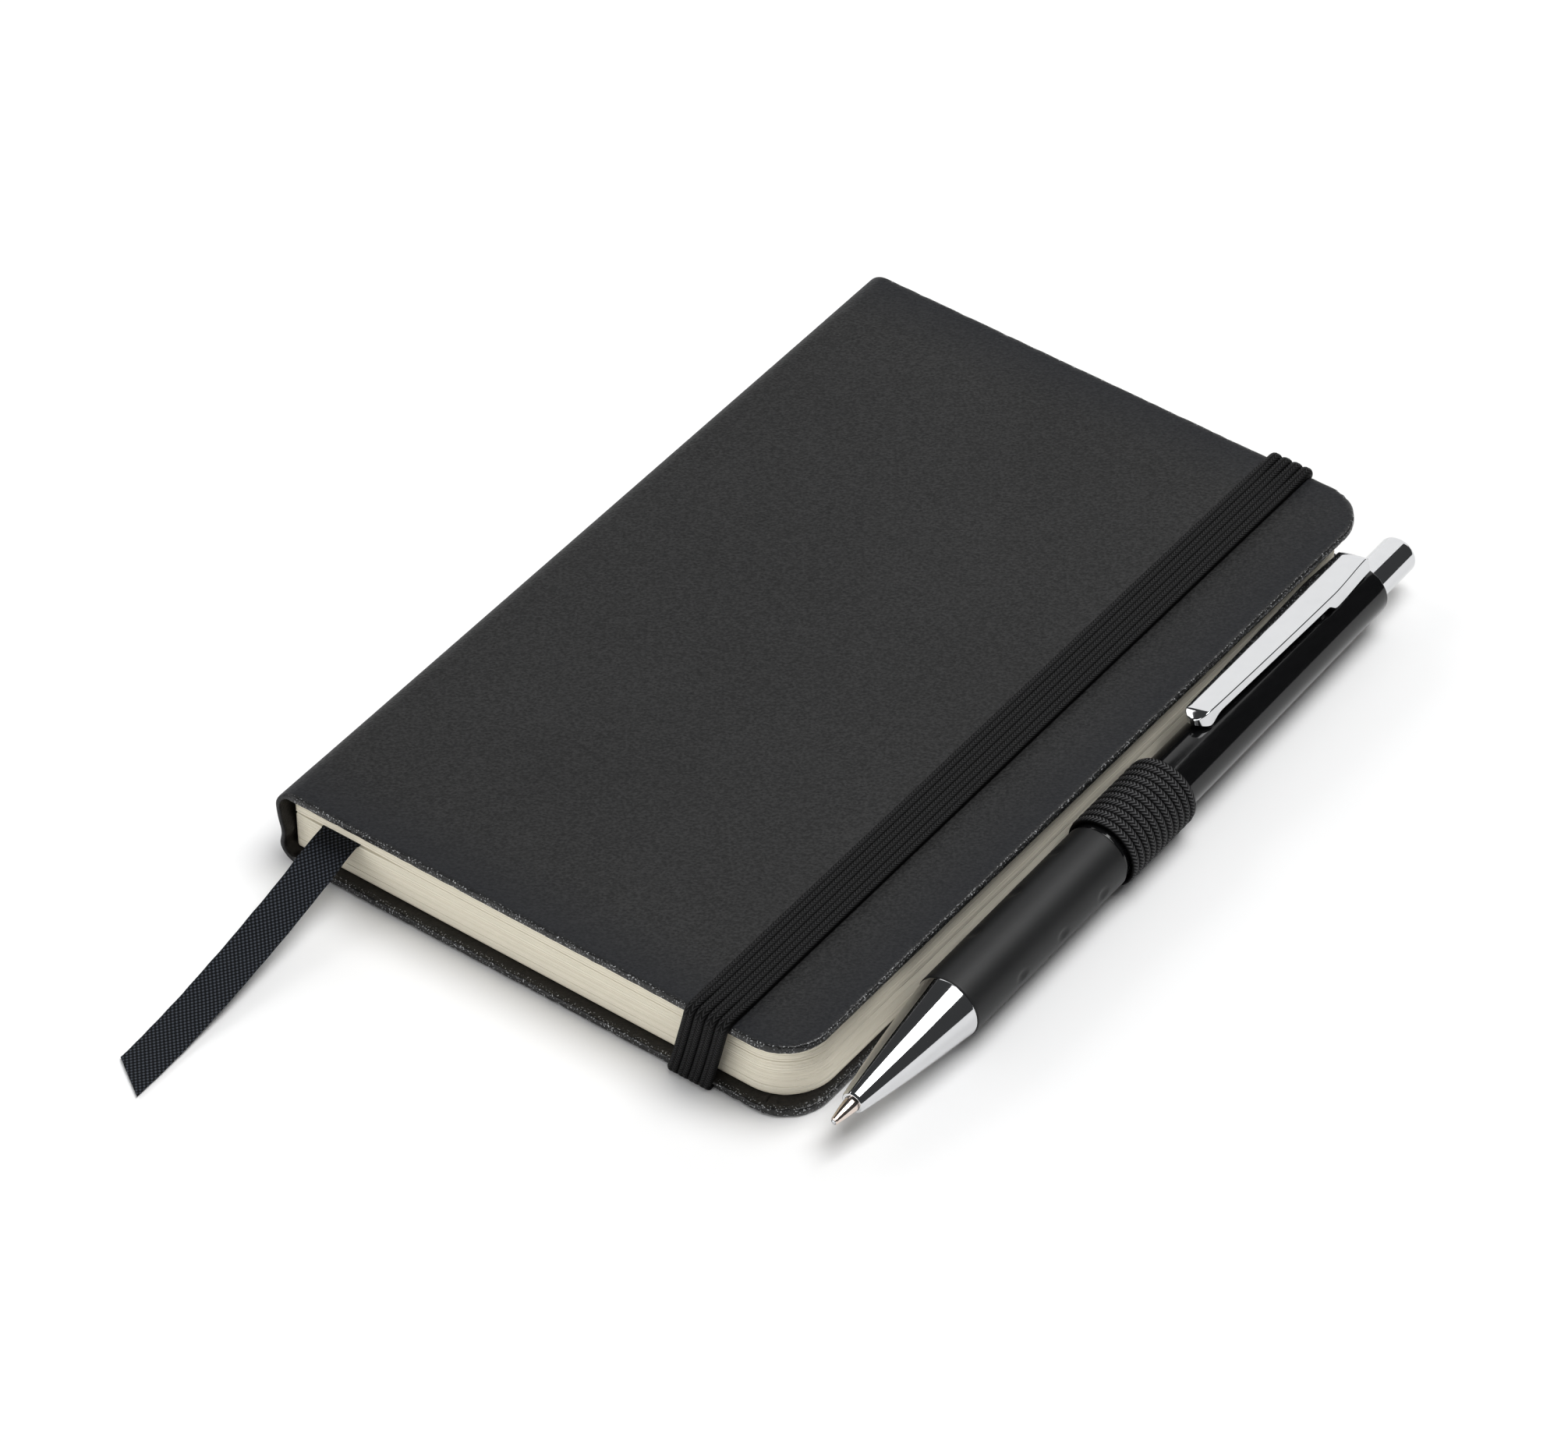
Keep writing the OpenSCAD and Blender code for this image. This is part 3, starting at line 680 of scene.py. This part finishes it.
def cap_faces(ring, columns):
    """Faces that close a cover's outline: a grid, joined to the outline along its sides and corners"""
    tail = ring[:TAIL_COUNT]
    fore_start = TAIL_COUNT - 1 + ARC_STEPS
    fore = ring[fore_start:fore_start + FORE_COUNT]
    head = ring[::-1][:TAIL_COUNT]
    faces = bridge(tail, columns[:, 0], False) + bridge(columns[:, -1], head, False)
    faces += bridge(columns[-1], fore, False)
    for k in range(columns.shape[1] - 1):
        faces += bridge(columns[:, k], columns[:, k + 1], False)
    first_arc = ring[TAIL_COUNT - 1:fore_start + 1]
    last_arc = ring[fore_start + FORE_COUNT - 1:fore_start + FORE_COUNT + ARC_STEPS]
    faces.append(list(first_arc) + [columns[-1, 0]])
    faces.append(list(last_arc) + [columns[-1, -1]])
    return faces


PLEATS = 6.5  # folds round a fore corner
PLEAT_RISE = 0.34


def pleats(flat, inset, on_turn_in):
    """Folds of the turned-in skin round each fore corner"""
    dx = flat[:, 0] - (HALF_W - CORNER_R)
    dy = np.abs(flat[:, 1]) - (HALF_H - CORNER_R)
    angle = np.arctan2(dx, dy) / (math.pi / 2)
    inside = (dx > 0) & (dy > 0) & on_turn_in
    radius = np.hypot(dx, dy)
    fold = (angle * PLEATS + 0.15 * np.sin(9 * angle)) % 1.0
    rise = PLEAT_RISE * fold ** 1.5 * smooth(1 - fold, 0.0, 0.08)
    window = (smooth(-inset, -PASTEDOWN_INSET, -PASTEDOWN_INSET + 0.8)
              * smooth(-radius, -CORNER_R + 0.2, -CORNER_R + 1.2))
    return np.where(inside, rise * window, 0.0)


def closing_grid(ring, ring_start, start):
    """Points that close one face of a cover, their numbers in columns, and the faces between them"""
    fore_start = TAIL_COUNT - 1 + ARC_STEPS
    xs, ys = ring[:TAIL_COUNT, 0], ring[fore_start:fore_start + FORE_COUNT, 1]
    grid = np.array([(x, y, ring[0, 2]) for x in xs for y in ys])
    columns = start + np.arange(len(grid)).reshape(len(xs), len(ys))
    return grid, columns, cap_faces(ring_start + np.arange(len(ring)), columns)


OUTER_BEAD, INNER_BEAD = (0.25, 0.6), (0.6, 1.3)  # insets over which the glossy edge and its painted glints fade out


def skin_shell():
    """A cover's skin on the flat: points (x, y, depth), faces, and each point's turned and edge fields"""
    outside, edge, turn_in, inside = skin_profile()
    profile = outside + edge + turn_in + inside
    size = len(cover_outline(0))
    flat, faces, turned, edges = [], rings_to_faces(len(profile), size, False), [], []
    for k, (inset, depth) in enumerate(profile):
        flat.append(np.column_stack([cover_outline(inset), np.full(size, depth)]))
        turned.append(np.full(size, smooth(depth, 0.75, 1.3) if k < len(outside + edge) else 1.0))
        bead = OUTER_BEAD if depth < TURN_Z - 0.01 else INNER_BEAD
        edges.append(np.full(size, 1 - smooth(inset, *bead) if depth > 0 or inset < 1 else 0.0))
    start = len(profile) * size
    spine_ends = []
    for ring_number in (0, len(profile) - 1):
        grid, columns, closing = closing_grid(flat[ring_number], ring_number * size, start)
        faces += closing
        spine_ends.append(list(columns[0]))
        flat.append(grid)
        turned.append(np.full(len(grid), float(ring_number > 0)))
        edges.append(np.zeros(len(grid)))
        start += len(grid)
    first = [k * size for k in range(len(profile))]
    last = [(k + 1) * size - 1 for k in range(len(profile))]
    faces.append(first + spine_ends[1] + last[::-1] + spine_ends[0][::-1])
    return np.concatenate(flat), faces, np.concatenate(turned), np.concatenate(edges)


RIM_W = 11.0  # how far in the bluer rim of the leatherette reaches
CRUMPLE = 0.14


def cover_skin(name, front):
    """Skin of one cover and half the spine, in one shell bent round the spine's edge"""
    flat, faces, turned, edges = skin_shell()
    # Weaker gloss, and no painted glints, right by the spine
    edges *= 0.4 + 0.6 * smooth(flat[:, 0], SPINE_X + 1.5, SPINE_X + 4)
    inset = np.minimum(HALF_W - flat[:, 0], HALF_H - np.abs(flat[:, 1]))
    rim = np.clip(1 - inset / RIM_W, 0, 1) ** 1.3
    on_turn_in = (flat[:, 2] > TURN_Z - 0.05) & (turned > 0.5)
    points = wrap(flat, grooved=not front)
    points[:, 2] += pleats(flat, inset, on_turn_in)
    waves = np.array([noise.noise(Vector(p) * 0.9) for p in flat]) * edges * CRUMPLE
    waves *= smooth(points[:, 0], SPINE_X + 1, SPINE_X + 6)
    points[:, 1] -= np.sign(points[:, 1]) * waves
    points[:, 2] += np.where(points[:, 2] < TURN_Z / 2, 1, -1) * np.abs(waves) * 0.8
    if front:
        points[:, 2] = BOOK_T - points[:, 2]
    points = spine_waves(points)
    stands_for = ["front_cover_skin", "spine_skin"] if front else ["back_cover_skin"]
    skin = make_piece(name, points, faces, LEATHERETTE, stands_for=stands_for,
                      fields={"rim": rim, "turned": turned, "edge": edges})
    if front:
        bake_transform(skin)
    else:
        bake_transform(skin)


cover_skin("back_cover_leatherette", front=False)
cover_skin("front_cover_leatherette", front=True)

# ---- pages ----

LEAVES = 14  # leaves that show at the edges of a section
PAGE_CAP = 7.0  # inset of the ring that a section's flat faces start from
FOLD_IN = 0.16  # how far in the leaves beside another section lie


def leaf_outline(inset, lo, hi):
    """Closed outline of a leaf: square at the spine, round at the fore corners"""
    x0, x1, y1, r = lo[0], hi[0] - inset, hi[1] - inset, PAGE_R - inset
    turn = np.linspace(0, math.pi / 2, 15)
    xs = np.linspace(x0, x1 - r, 26)[:-1]
    ys = np.linspace(0, y1 - r, 25)[1:-1]
    lower = [(x, -y1) for x in xs]
    lower += [(x1 - r + r * math.sin(t), r - y1 - r * math.cos(t)) for t in turn]
    lower += [(x1, -y) for y in ys[::-1]]
    return np.array(lower + [(x1, 0.0)] + [(x, -y) for x, y in lower[::-1]])


BLOCK_LOW, BLOCK_HIGH = low("page_section_1")[2], high("page_section_8")[2]
GAP_LOW, GAP_HIGH = high("page_section_5")[2], low("page_section_6")[2]
PARTED = (-39.6, -32.6)  # between these the ribbon holds the leaves apart
CLOSED = (-43.5, -24.0)  # and beyond these they lie on each other


def close_on_ribbon(points):
    """The block parts only at the ribbon; beside it the leaves lie on each other"""
    x, _, z = points.T
    beside = np.maximum(smooth(x, PARTED[1], CLOSED[1]), smooth(-x, -PARTED[0], -CLOSED[0]))
    middle = (GAP_LOW + GAP_HIGH) / 2
    under = (z - BLOCK_LOW) / (GAP_LOW - BLOCK_LOW) * (middle - GAP_LOW)
    over = (BLOCK_HIGH - z) / (BLOCK_HIGH - GAP_HIGH) * (middle - GAP_HIGH)
    points[:, 2] += beside * np.where(z < middle, under, over)
    return points


def page_waves(points):
    """The leaves rise and fall a little along the fore-edge, together through the block"""
    x, y, z = points.T
    depth = np.sin(math.pi * np.clip((z - BLOCK_LOW) / (BLOCK_HIGH - BLOCK_LOW), 0, 1))
    near = smooth(x, 20, 43)
    lift = 0.13 * np.sin(y / 9.5 + 0.8) + 0.08 * np.sin(y / 4.1 + 2.0) + 0.05 * np.sin(y / 1.9)
    points[:, 2] += lift * depth * near
    return points


def page_section(node, body):
    """One sewn section: its leaves show as fine steps round the three cut edges"""
    lo, hi = low(node), high(node)
    leaf_t = (hi[2] - lo[2]) / LEAVES
    shift = rng.uniform(0, 0.05)
    rows = [(lo[2], PAGE_CAP, 0.0), (lo[2], FOLD_IN, 0.5)]
    for leaf in range(LEAVES):
        inset = shift + rng.uniform(0.0, 0.05)
        bottom = lo[2] + leaf * leaf_t
        # gap sets how much painted shade the recessed step below each leaf gets
        gap = 0.6 if leaf else 0.35
        rows += [(bottom + 0.10 * leaf_t, inset + 0.03, gap), (bottom + 0.55 * leaf_t, inset, 0.0)]
    rows += [(hi[2], FOLD_IN, 0.5), (hi[2], PAGE_CAP, 0.0)]
    size = len(leaf_outline(0, lo, hi))
    rings = [np.column_stack([leaf_outline(inset, lo, hi), np.full(size, z)]) for z, inset, _ in rows]
    groove = np.repeat([g for *_, g in rows], size)
    points = page_waves(close_on_ribbon(np.concatenate(rings)))
    faces = rings_to_faces(len(rings), size) + end_caps(len(rings), size)
    make_piece(node + "_leaves", points, faces, PAGES, body, [node], sharp=60,
               fields={"groove": groove})


for number in range(1, 9):
    page_section(f"page_section_{number}", "back_cover" if number <= 5 else "front_pages")

# ---- straps ----


def strap(name, centre, side, normal, width, thickness, ribs, rib_depth, material, body,
          stands_for=(), broad=0.0):
    """A braided strap along a line of centres, as wide as width along side; broad 1 pairs its ribs"""
    steps = 6 * ribs
    u = np.linspace(-0.5, 0.5, steps + 1)
    inner = u[::-3]
    count = len(centre)
    run = distances(centre)
    thickness = np.broadcast_to(np.asarray(thickness, float), count)
    broad = np.broadcast_to(np.asarray(broad, float), count)
    fine_rib = np.abs(np.sin(math.pi * ribs * (u + 0.5))) ** 0.6
    wide_rib = np.abs(np.sin(math.pi * ribs / 2 * (u + 0.5))) ** 0.7
    points, fields, valleys = [], [], []
    for i in range(count):
        half = thickness[i] / 2
        crown = (1 - broad[i]) * 0.55 * fine_rib + broad[i] * (0.30 * fine_rib + 2.1 * wide_rib)
        shoulder = 1 - 0.35 * np.abs(2 * u) ** 18
        height = (half - rib_depth + rib_depth * crown) * shoulder
        outer = centre[i] + np.outer(u * width, side) + np.outer(height, normal[i])
        under = -half * (1 - 0.3 * np.abs(2 * inner) ** 10)
        back = centre[i] + np.outer(inner * width, side) + np.outer(under, normal[i])
        points += list(outer) + list(back)
        fields += [(v * width + width / 2, run[i], 0) for v in np.concatenate([u, inner])]
        # valleys: where the elastic material paints shade in the troughs between paired ribs
        valleys += list(broad[i] * (1 - wide_rib) ** 1.2) + [0.0] * len(inner)
    size = len(u) + len(inner)
    faces = rings_to_faces(count, size) + end_caps(count, size)
    return make_piece(name, points, faces, material, body, stands_for, sharp=50,
                      fields={"strap": fields, "valley": valleys})


def outward_normals(path, side, inside, by_point=True):
    """Unit normals of a path, square to it and to the strap's own width, and away from an inside point"""
    normal = unit(np.cross(side, unit(np.gradient(path, axis=0))))
    outward = np.sign(np.sum(normal * (path - inside), axis=1))[:, None]
    return normal * (outward if by_point else outward[len(path) // 2])


TO_FORE_EDGE = np.array([1.0, 0, 0])
BAND_SPLIT = 0.9  # height at which the band meets its ends
BAND_LEG_Y = high("elastic_band")[1] - BAND_T / 2
BAND_RIB = 0.16
END_T, END_RIB = 0.6, 0.14
END_Z, END_Y, END_TOP = 0.31, 60.6, 1.25  # height of the ends, and where they turn up and how far


def add_band():
    """The closure's band, over the front cover and down the two edges of the book"""
    z_top = BAND_TOP - BAND_T / 2
    half = fillet([(BAND_LEG_Y, BAND_SPLIT), (BAND_LEG_Y, z_top), (0, z_top)], [1.15], 10)
    line = densify(np.concatenate([half * [-1, 1], half[-2::-1]]), 0.55)
    lean = np.clip((line[:, 1] - BAND_SPLIT) / (z_top - BAND_SPLIT), 0, 1) ** 0.9
    centre = np.column_stack([BAND_END_X + (BAND_X - BAND_END_X) * lean, line])
    normal = outward_normals(centre * [0, 1, 1], TO_FORE_EDGE, [0, 0, 6.0])
    on_leg = smooth(np.abs(line[:, 0]), HALF_H - 7, HALF_H - 0.5)
    band = strap("closure_band", centre, TO_FORE_EDGE, normal, BAND_W, BAND_T, BAND_RIBS, BAND_RIB,
                 BAND_ELASTIC, "band", ["elastic_band"], broad=0.15 + 0.85 * on_leg)
    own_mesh(band)


def add_band_end(sign, end):
    """One end of the closure: round the cover's edge, along its underside and up into its slot"""
    run = fillet([(BAND_LEG_Y, BAND_SPLIT), (BAND_LEG_Y, END_Z), (END_Y, END_Z), (END_Y, END_TOP)],
                 [0.75, 0.45], 8)
    run = densify(run, 0.5)
    run[:, 0] *= sign
    path = np.column_stack([np.full(len(run), BAND_END_X), run])
    normal = outward_normals(path, TO_FORE_EDGE, [BAND_END_X, sign * 66, 1.6])
    thickness = BAND_T - (BAND_T - END_T) * smooth(-np.abs(run[:, 0]), -BAND_LEG_Y, -BAND_LEG_Y + 0.8)
    on_leg = smooth(np.abs(run[:, 0]), HALF_H - 5, HALF_H - 1) * smooth(run[:, 1], END_Z, BAND_SPLIT)
    strap(f"closure_end_{end}", path, TO_FORE_EDGE, normal, BAND_W, thickness, BAND_RIBS, END_RIB,
          BAND_ELASTIC, "back_cover", ["elastic_ends"] if sign < 0 else (), broad=0.15 + 0.85 * on_leg)


add_band()
add_band_end(-1, "tail")
add_band_end(1, "head")

LOOP_T, LOOP_RIB = 0.75, 0.42
LOOP_R = 5.18 + LOOP_T / 2  # the middle of its elastic, just clear of the grip
LOOP_ALONG = 1.6  # its middle, along the pen
LOOP_ROOT = np.array([-5.75, -4.72])  # where both layers leave the cover, from the pen's axis
TONGUE_T = 0.12  # each layer, pressed flat inside the cover
TONGUE_X = (-8.35, -6.9)  # their ends, and a point where they are still flat


def add_pen_loop():
    """The pen loop: ribbed elastic out of the back cover's edge, round the pen and back"""
    spread = math.acos(LOOP_R / np.hypot(*LOOP_ROOT))
    toward = math.atan2(LOOP_ROOT[1], LOOP_ROOT[0])
    turn = np.linspace(toward + spread, toward - spread + math.tau, 70)
    circle = np.column_stack([LOOP_R * np.cos(turn), LOOP_R * np.sin(turn)])
    lower, upper = LOOP_ROOT[1] + 0.02, LOOP_ROOT[1] + 0.14
    into = [(x, lower) for x in (*TONGUE_X, LOOP_ROOT[0])]
    back = [(x, upper) for x in (LOOP_ROOT[0], *TONGUE_X[::-1])]
    line = densify(np.concatenate([into, circle, back]), 0.45)
    near_root = np.hypot(*(line - LOOP_ROOT).T)
    in_tongue = smooth(-line[:, 0], 5.6, 6.6)
    thickness = LOOP_T * (1 - in_tongue) + TONGUE_T * in_tongue
    thickness *= 1 - 0.45 * np.exp(-(near_root / 0.9) ** 2)
    axis_point = PEN_POINT + LOOP_ALONG * PEN_AXIS
    centre = axis_point + line[:, :1] * PEN_SIDE + line[:, 1:] * UP
    normal = outward_normals(centre, PEN_AXIS, axis_point, by_point=False)
    strap("pen_loop_elastic", centre, PEN_AXIS, normal, LOOP_W, thickness, LOOP_RIBS, LOOP_RIB,
          LOOP_ELASTIC, "back_cover", ["pen_loop"])


add_pen_loop()

# ---- pen: outlines are (radius, distance along the axis from PEN_POINT towards the head) ----

GRIP_R, SEAT_R = 5.1, 4.36  # the grip's outside, and its seat on the barrel
GRIP_LOW, GRIP_HIGH = -43.2, -7.1
RING_HIGH = -4.9  # where the joint ring meets the barrel
BARREL_HIGH = 61.5


def add_barrel():
    outline = fillet([(3.9, -43.15), (4.35, -43.15), (4.35, RING_HIGH), (4.5, RING_HIGH), (4.42, 20),
                      (4.15, 60), (4.1, BARREL_HIGH), (3.35, BARREL_HIGH), (3.07, 61.2), (3.07, 59),
                      (3.3, 59), (3.3, -36), (3.9, -36), (3.9, -43.15)],
                     [0, 0.02, 0.05, 20, 8, 1.1, 0.2, 0.1, 0, 0, 0, 0], 8)[:-1]
    lathe("barrel_tube", outline, GLOSS_BLACK, "pen", ["pen_barrel"], closed=True)


def add_joint_ring():
    outline = fillet([(SEAT_R, -7.08), (4.9, -7.08), (4.9, -5.0), (4.62, RING_HIGH), (SEAT_R, RING_HIGH),
                      (SEAT_R, -7.08)], [0.12, 0.35, 0.1, 0], 6)[:-1]
    lathe("joint_ring_band", outline, GLOSS_BLACK, "pen", ["pen_joint_ring"], closed=True)


DIMPLE_ROWS = tuple(math.radians(a) for a in (86, 206, 326))
DIMPLES = (-13.0, -22.8, -32.6)  # their middles, along the pen
DIMPLE_L, DIMPLE_W, DIMPLE_DEEP = 1.5, 1.1, 0.28  # half length, half width and depth


def dimpled(radii, along, angles):
    """Shallow oval finger dimples along three sides of the grip's outer face"""
    for row in DIMPLE_ROWS:
        gap = (angles - row + math.pi) % math.tau - math.pi
        for place in DIMPLES:
            oval = ((along - place) / DIMPLE_L) ** 2 + (gap * radii / DIMPLE_W) ** 2
            radii = radii - DIMPLE_DEEP * np.clip(1 - oval, 0, None) ** 1.6 * (radii > SEAT_R + 0.4)
    return radii


def add_grip():
    corners = [(SEAT_R, GRIP_LOW), (GRIP_R, GRIP_LOW), (GRIP_R, GRIP_HIGH), (SEAT_R, GRIP_HIGH),
               (SEAT_R, GRIP_LOW)]
    outline = fillet(corners, [0.22, 0.3, 0], 6)[:-1]
    outline = densify(np.vstack([outline, outline[:1]]), 0.32)[:-1]
    lathe("grip_sleeve", outline, RUBBER, "pen", ["pen_grip"], closed=True, sides=200,
          shape=dimpled)


def add_nose_cone():
    outside = [(1.22, -65.7), (1.62, -65.7), (1.80, -65.3), (2.55, -61), (3.4, -55.5), (4.2, -49.5),
               (4.95, -43.45), (4.95, -43.22), (3.85, -43.22), (3.85, -36.15), (2.7, -36.15),
               (2.7, -54), (1.22, -54), (1.22, -65.7)]
    outline = fillet(outside, [0.12, 0.25, 6, 12, 12, 0.25, 0.1, 0, 0, 0, 0, 0.1], 7)[:-1]
    lathe("nose_cone_shell", outline, CHROME, "pen", ["pen_nose_cone"], closed=True)


def add_plunger():
    outline = fillet([(0, 44.5), (2.3, 44.5), (2.3, 54), (3.0, 54), (3.0, 70.6), (2.2, 71.3), (0, 71.3)],
                     [0.2, 0, 0.2, 0.9, 0.5], 8)
    lathe("plunger_button", outline, CHROME, "plunger", ["pen_plunger"])


def add_refill_tip():
    outline = fillet([(0, -50), (1.15, -50), (1.15, -66.05), (0.93, -67.7), (0.56, -69.78),
                      (0.41, -69.92)], [0.1, 0.5, 1.2, 0.10], 6)
    outline = np.vstack([outline, [(0.43, -69.85), (0.47, -69.65), (0.43, -69.4), (0, -69.2)]])
    lathe("refill_tip_cone", outline, NICKEL, "refill", ["refill_tip"], sides=64)


BALL_R, BALL_A = 0.44, -69.65


def add_ball():
    turn = np.linspace(0, math.pi, 15)
    outline = [(BALL_R * math.sin(t), BALL_A - BALL_R * math.cos(t)) for t in turn]
    outline[0], outline[-1] = (0, outline[0][1]), (0, outline[-1][1])
    lathe("refill_ball_bearing", outline, SPRING_STEEL, "refill", ["refill_ball"], sides=32)


SPRING_LOW, SPRING_HIGH = -53.9, -40.0  # where the spring's ends rest, along the pen
SPRING_R, WIRE_R, SPRING_TURNS = 1.95, 0.2, 7


def add_spring():
    """Return spring: one end rests in the nose cone, the other on the refill's collar"""
    turn = np.linspace(0, math.tau * SPRING_TURNS, 24 * SPRING_TURNS + 1)
    wire = np.linspace(0, math.tau, 9)[:-1]
    reach = SPRING_HIGH - SPRING_LOW - 3 * WIRE_R
    points = []
    for t in turn:
        along = SPRING_LOW + 1.5 * WIRE_R + reach * t / turn[-1]
        points += list(on_pen(along + WIRE_R * np.sin(wire), SPRING_R + WIRE_R * np.cos(wire), t))
    faces = rings_to_faces(len(turn), len(wire)) + end_caps(len(turn), len(wire))
    spring = make_piece("return_spring_coil", points, faces, SPRING_STEEL,
                        stands_for=["pen_spring"])
    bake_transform(spring)


CLIP_ROLL = math.radians(-13)
CLIP_TIP, CLIP_DEEP, CLIP_ROOT = 18.4, 51.1, 60.6  # its ends, and where its sides get deeper
CLIP_END = 1.9  # length of the rounded tip
CLIP_RIM = 0.6  # length of the rounding at its root
CLIP_SHEET, CLIP_CROWN, CLIP_ROUND = 0.48, 0.05, 0.2


def clip_section(a):
    """Half-width, top height and height of the sides' lower edge at a distance along"""
    share = (a - CLIP_TIP) / (CLIP_ROOT - CLIP_TIP)
    half = 1.9 + 1.0 * min(1.0, (a - CLIP_TIP) / (CLIP_DEEP - CLIP_TIP)) ** 0.85
    half -= 0.5 * float(smooth(a, CLIP_DEEP, CLIP_ROOT))
    end = min(1.0, max(0.0, (a - CLIP_TIP) / CLIP_END))
    half *= math.sqrt(max(1 - (1 - end) ** 2, 0.05))
    top = 6.9 - 0.75 * (1 - end) ** 2 - 0.10 * math.sin(math.pi * share)
    side = 5.5 - 0.85 * math.exp(-((a - CLIP_TIP - 1.7) / 1.5) ** 2)
    side -= 1.1 * float(smooth(a, CLIP_DEEP - 1.8, CLIP_DEEP))
    return half, top, min(side, top - 0.35)


def mirrored(points):
    return [(-x, z) for x, z in points[::-1]]


def clip_ring(a):
    """Section of the channel at a distance along, before its roll: over its top and back inside"""
    half, top, side = clip_section(a)
    r = min(CLIP_ROUND, half * 0.45, (top - side) * 0.6)
    top -= 0.35 * float(smooth(a, CLIP_ROOT - CLIP_RIM, CLIP_ROOT))
    left = [(-half, side)]
    left += [(-half + r - r * math.cos(t), top - CLIP_CROWN - r + r * math.sin(t))
             for t in np.linspace(0, math.pi / 2, 7)]
    middle = [(half * f, top - CLIP_CROWN * f ** 2) for f in np.linspace(-0.6, 0.6, 7)]
    hollow = CLIP_TIP + 4.2 < a < CLIP_DEEP - 1.0
    roof = top - CLIP_SHEET if hollow else side + 0.02
    inner = max(half - CLIP_SHEET, half * 0.4)
    right = [(inner, side), (inner, roof - 0.15 * hollow), (inner - 0.15, roof)]
    return np.array(left + middle + mirrored(left) + right + mirrored(right))


def add_clip():
    """Spring clip: a tapered channel, bumped at its tip and deep at its root"""
    stations = np.concatenate([CLIP_TIP + CLIP_END * np.linspace(0, 1, 14) ** 1.6,
                               np.linspace(CLIP_TIP + 2.3, CLIP_ROOT - CLIP_RIM, 90),
                               CLIP_ROOT - CLIP_RIM * np.linspace(1, 0, 6)[1:] ** 1.6])
    rings = np.array([clip_ring(a) for a in stations])
    x = rings[..., :1] * math.cos(CLIP_ROLL) + rings[..., 1:] * math.sin(CLIP_ROLL)
    z = rings[..., 1:] * math.cos(CLIP_ROLL) - rings[..., :1] * math.sin(CLIP_ROLL)
    points = PEN_POINT + stations[:, None, None] * PEN_AXIS + x * PEN_SIDE + z * UP
    count, size = rings.shape[:2]
    faces = rings_to_faces(count, size) + end_caps(count, size)
    make_piece("clip_channel", points.reshape(-1, 3), faces, CHROME, "clip", ["pen_clip"],
               sharp=50)


add_barrel()
add_joint_ring()
add_grip()
add_nose_cone()
add_plunger()
add_refill_tip()
add_ball()
add_spring()
add_clip()

# ---- CAD nodes that stay ----

FINISHES = {
    "front_board": BOARD, "back_board": BOARD, "spine_card": BOARD,
    "front_pastedown": PAPER, "back_pastedown": PAPER, "front_flyleaf": PAPER, "back_flyleaf": PAPER,
    "front_spine_lining": LINING, "rear_spine_lining": LINING, "ribbon_inner": RIBBON_INNER,
    "pen_cam_sleeve": CAM_PLASTIC, "pen_cam_rotor": CAM_PLASTIC,
    "refill_tube": REFILL_PLASTIC}

for node_name, finish in FINISHES.items():
    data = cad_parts[node_name].data
    data.materials.clear()
    data.materials.append(finish)

# ---- stage ----

FLOOR_REACH, FLOOR_Z = 4.0, -0.0001


def add_floor():
    """Plain pale floor, a tenth of a millimetre under the book"""
    s = Surface("studio_floor", Specular_IOR_Level=0.1)
    cloud = s.noise(s.place(), 0.002, 2.0)
    s.set(Base_Color=s.mix(s.vary(cloud, 0.0, 1.0), (0.90, 0.90, 0.90), (0.92, 0.92, 0.92)),
          Roughness=s.vary(cloud, 0.85, 0.9))
    mesh = bpy.data.meshes.new("floor")
    corners = [(x * FLOOR_REACH, y * FLOOR_REACH, 0) for x, y in ((-1, -1), (1, -1), (1, 1), (-1, 1))]
    mesh.from_pydata(corners, [], [range(4)])
    mesh.materials.append(s.material)
    floor = linked(bpy.data.objects.new("floor", mesh))
    floor.location.z = FLOOR_Z


def add_light(name, place, size, radiance, turn=0.0):
    """A soft box aimed at the book and turned about its own axis; a radiance of 1 looks white"""
    data = bpy.data.lights.new(name, "AREA")
    data.shape = "RECTANGLE"
    data.size, data.size_y = size
    data.energy = radiance * math.pi * size[0] * size[1]
    light = linked(bpy.data.objects.new(name, data))
    aim = Vector(place).to_track_quat("Z", "Y").to_matrix().to_4x4()
    light.matrix_world = Matrix.Translation(place) @ aim @ Matrix.Rotation(math.radians(turn), 4, "Z")
    light.visible_camera = False


def add_world(strength):
    """Faint even light from all round"""
    world = bpy.data.worlds.new("studio")
    world.use_nodes = True
    background = world.node_tree.nodes["Background"]
    background.inputs["Color"].default_value = (0.95, 0.97, 1.0, 1)
    background.inputs["Strength"].default_value = strength
    bpy.context.scene.world = world


add_floor()
add_light("key", (0.32, 0.31, 1.40), (1.0, 1.0), 6.4, 18)
add_light("left_panel", (-1.29, -0.05, 0.74), (1.0, 0.8), 2.4)
add_light("backdrop", (-0.68, 1.355, 0.51), (2.5, 1.5), 1.08, -30)
add_light("front_fill", (-0.6, -2.2, 0.72), (3.2, 1.8), 1.8)
add_world(0.055)
bpy.context.scene.view_settings.view_transform = "Standard"
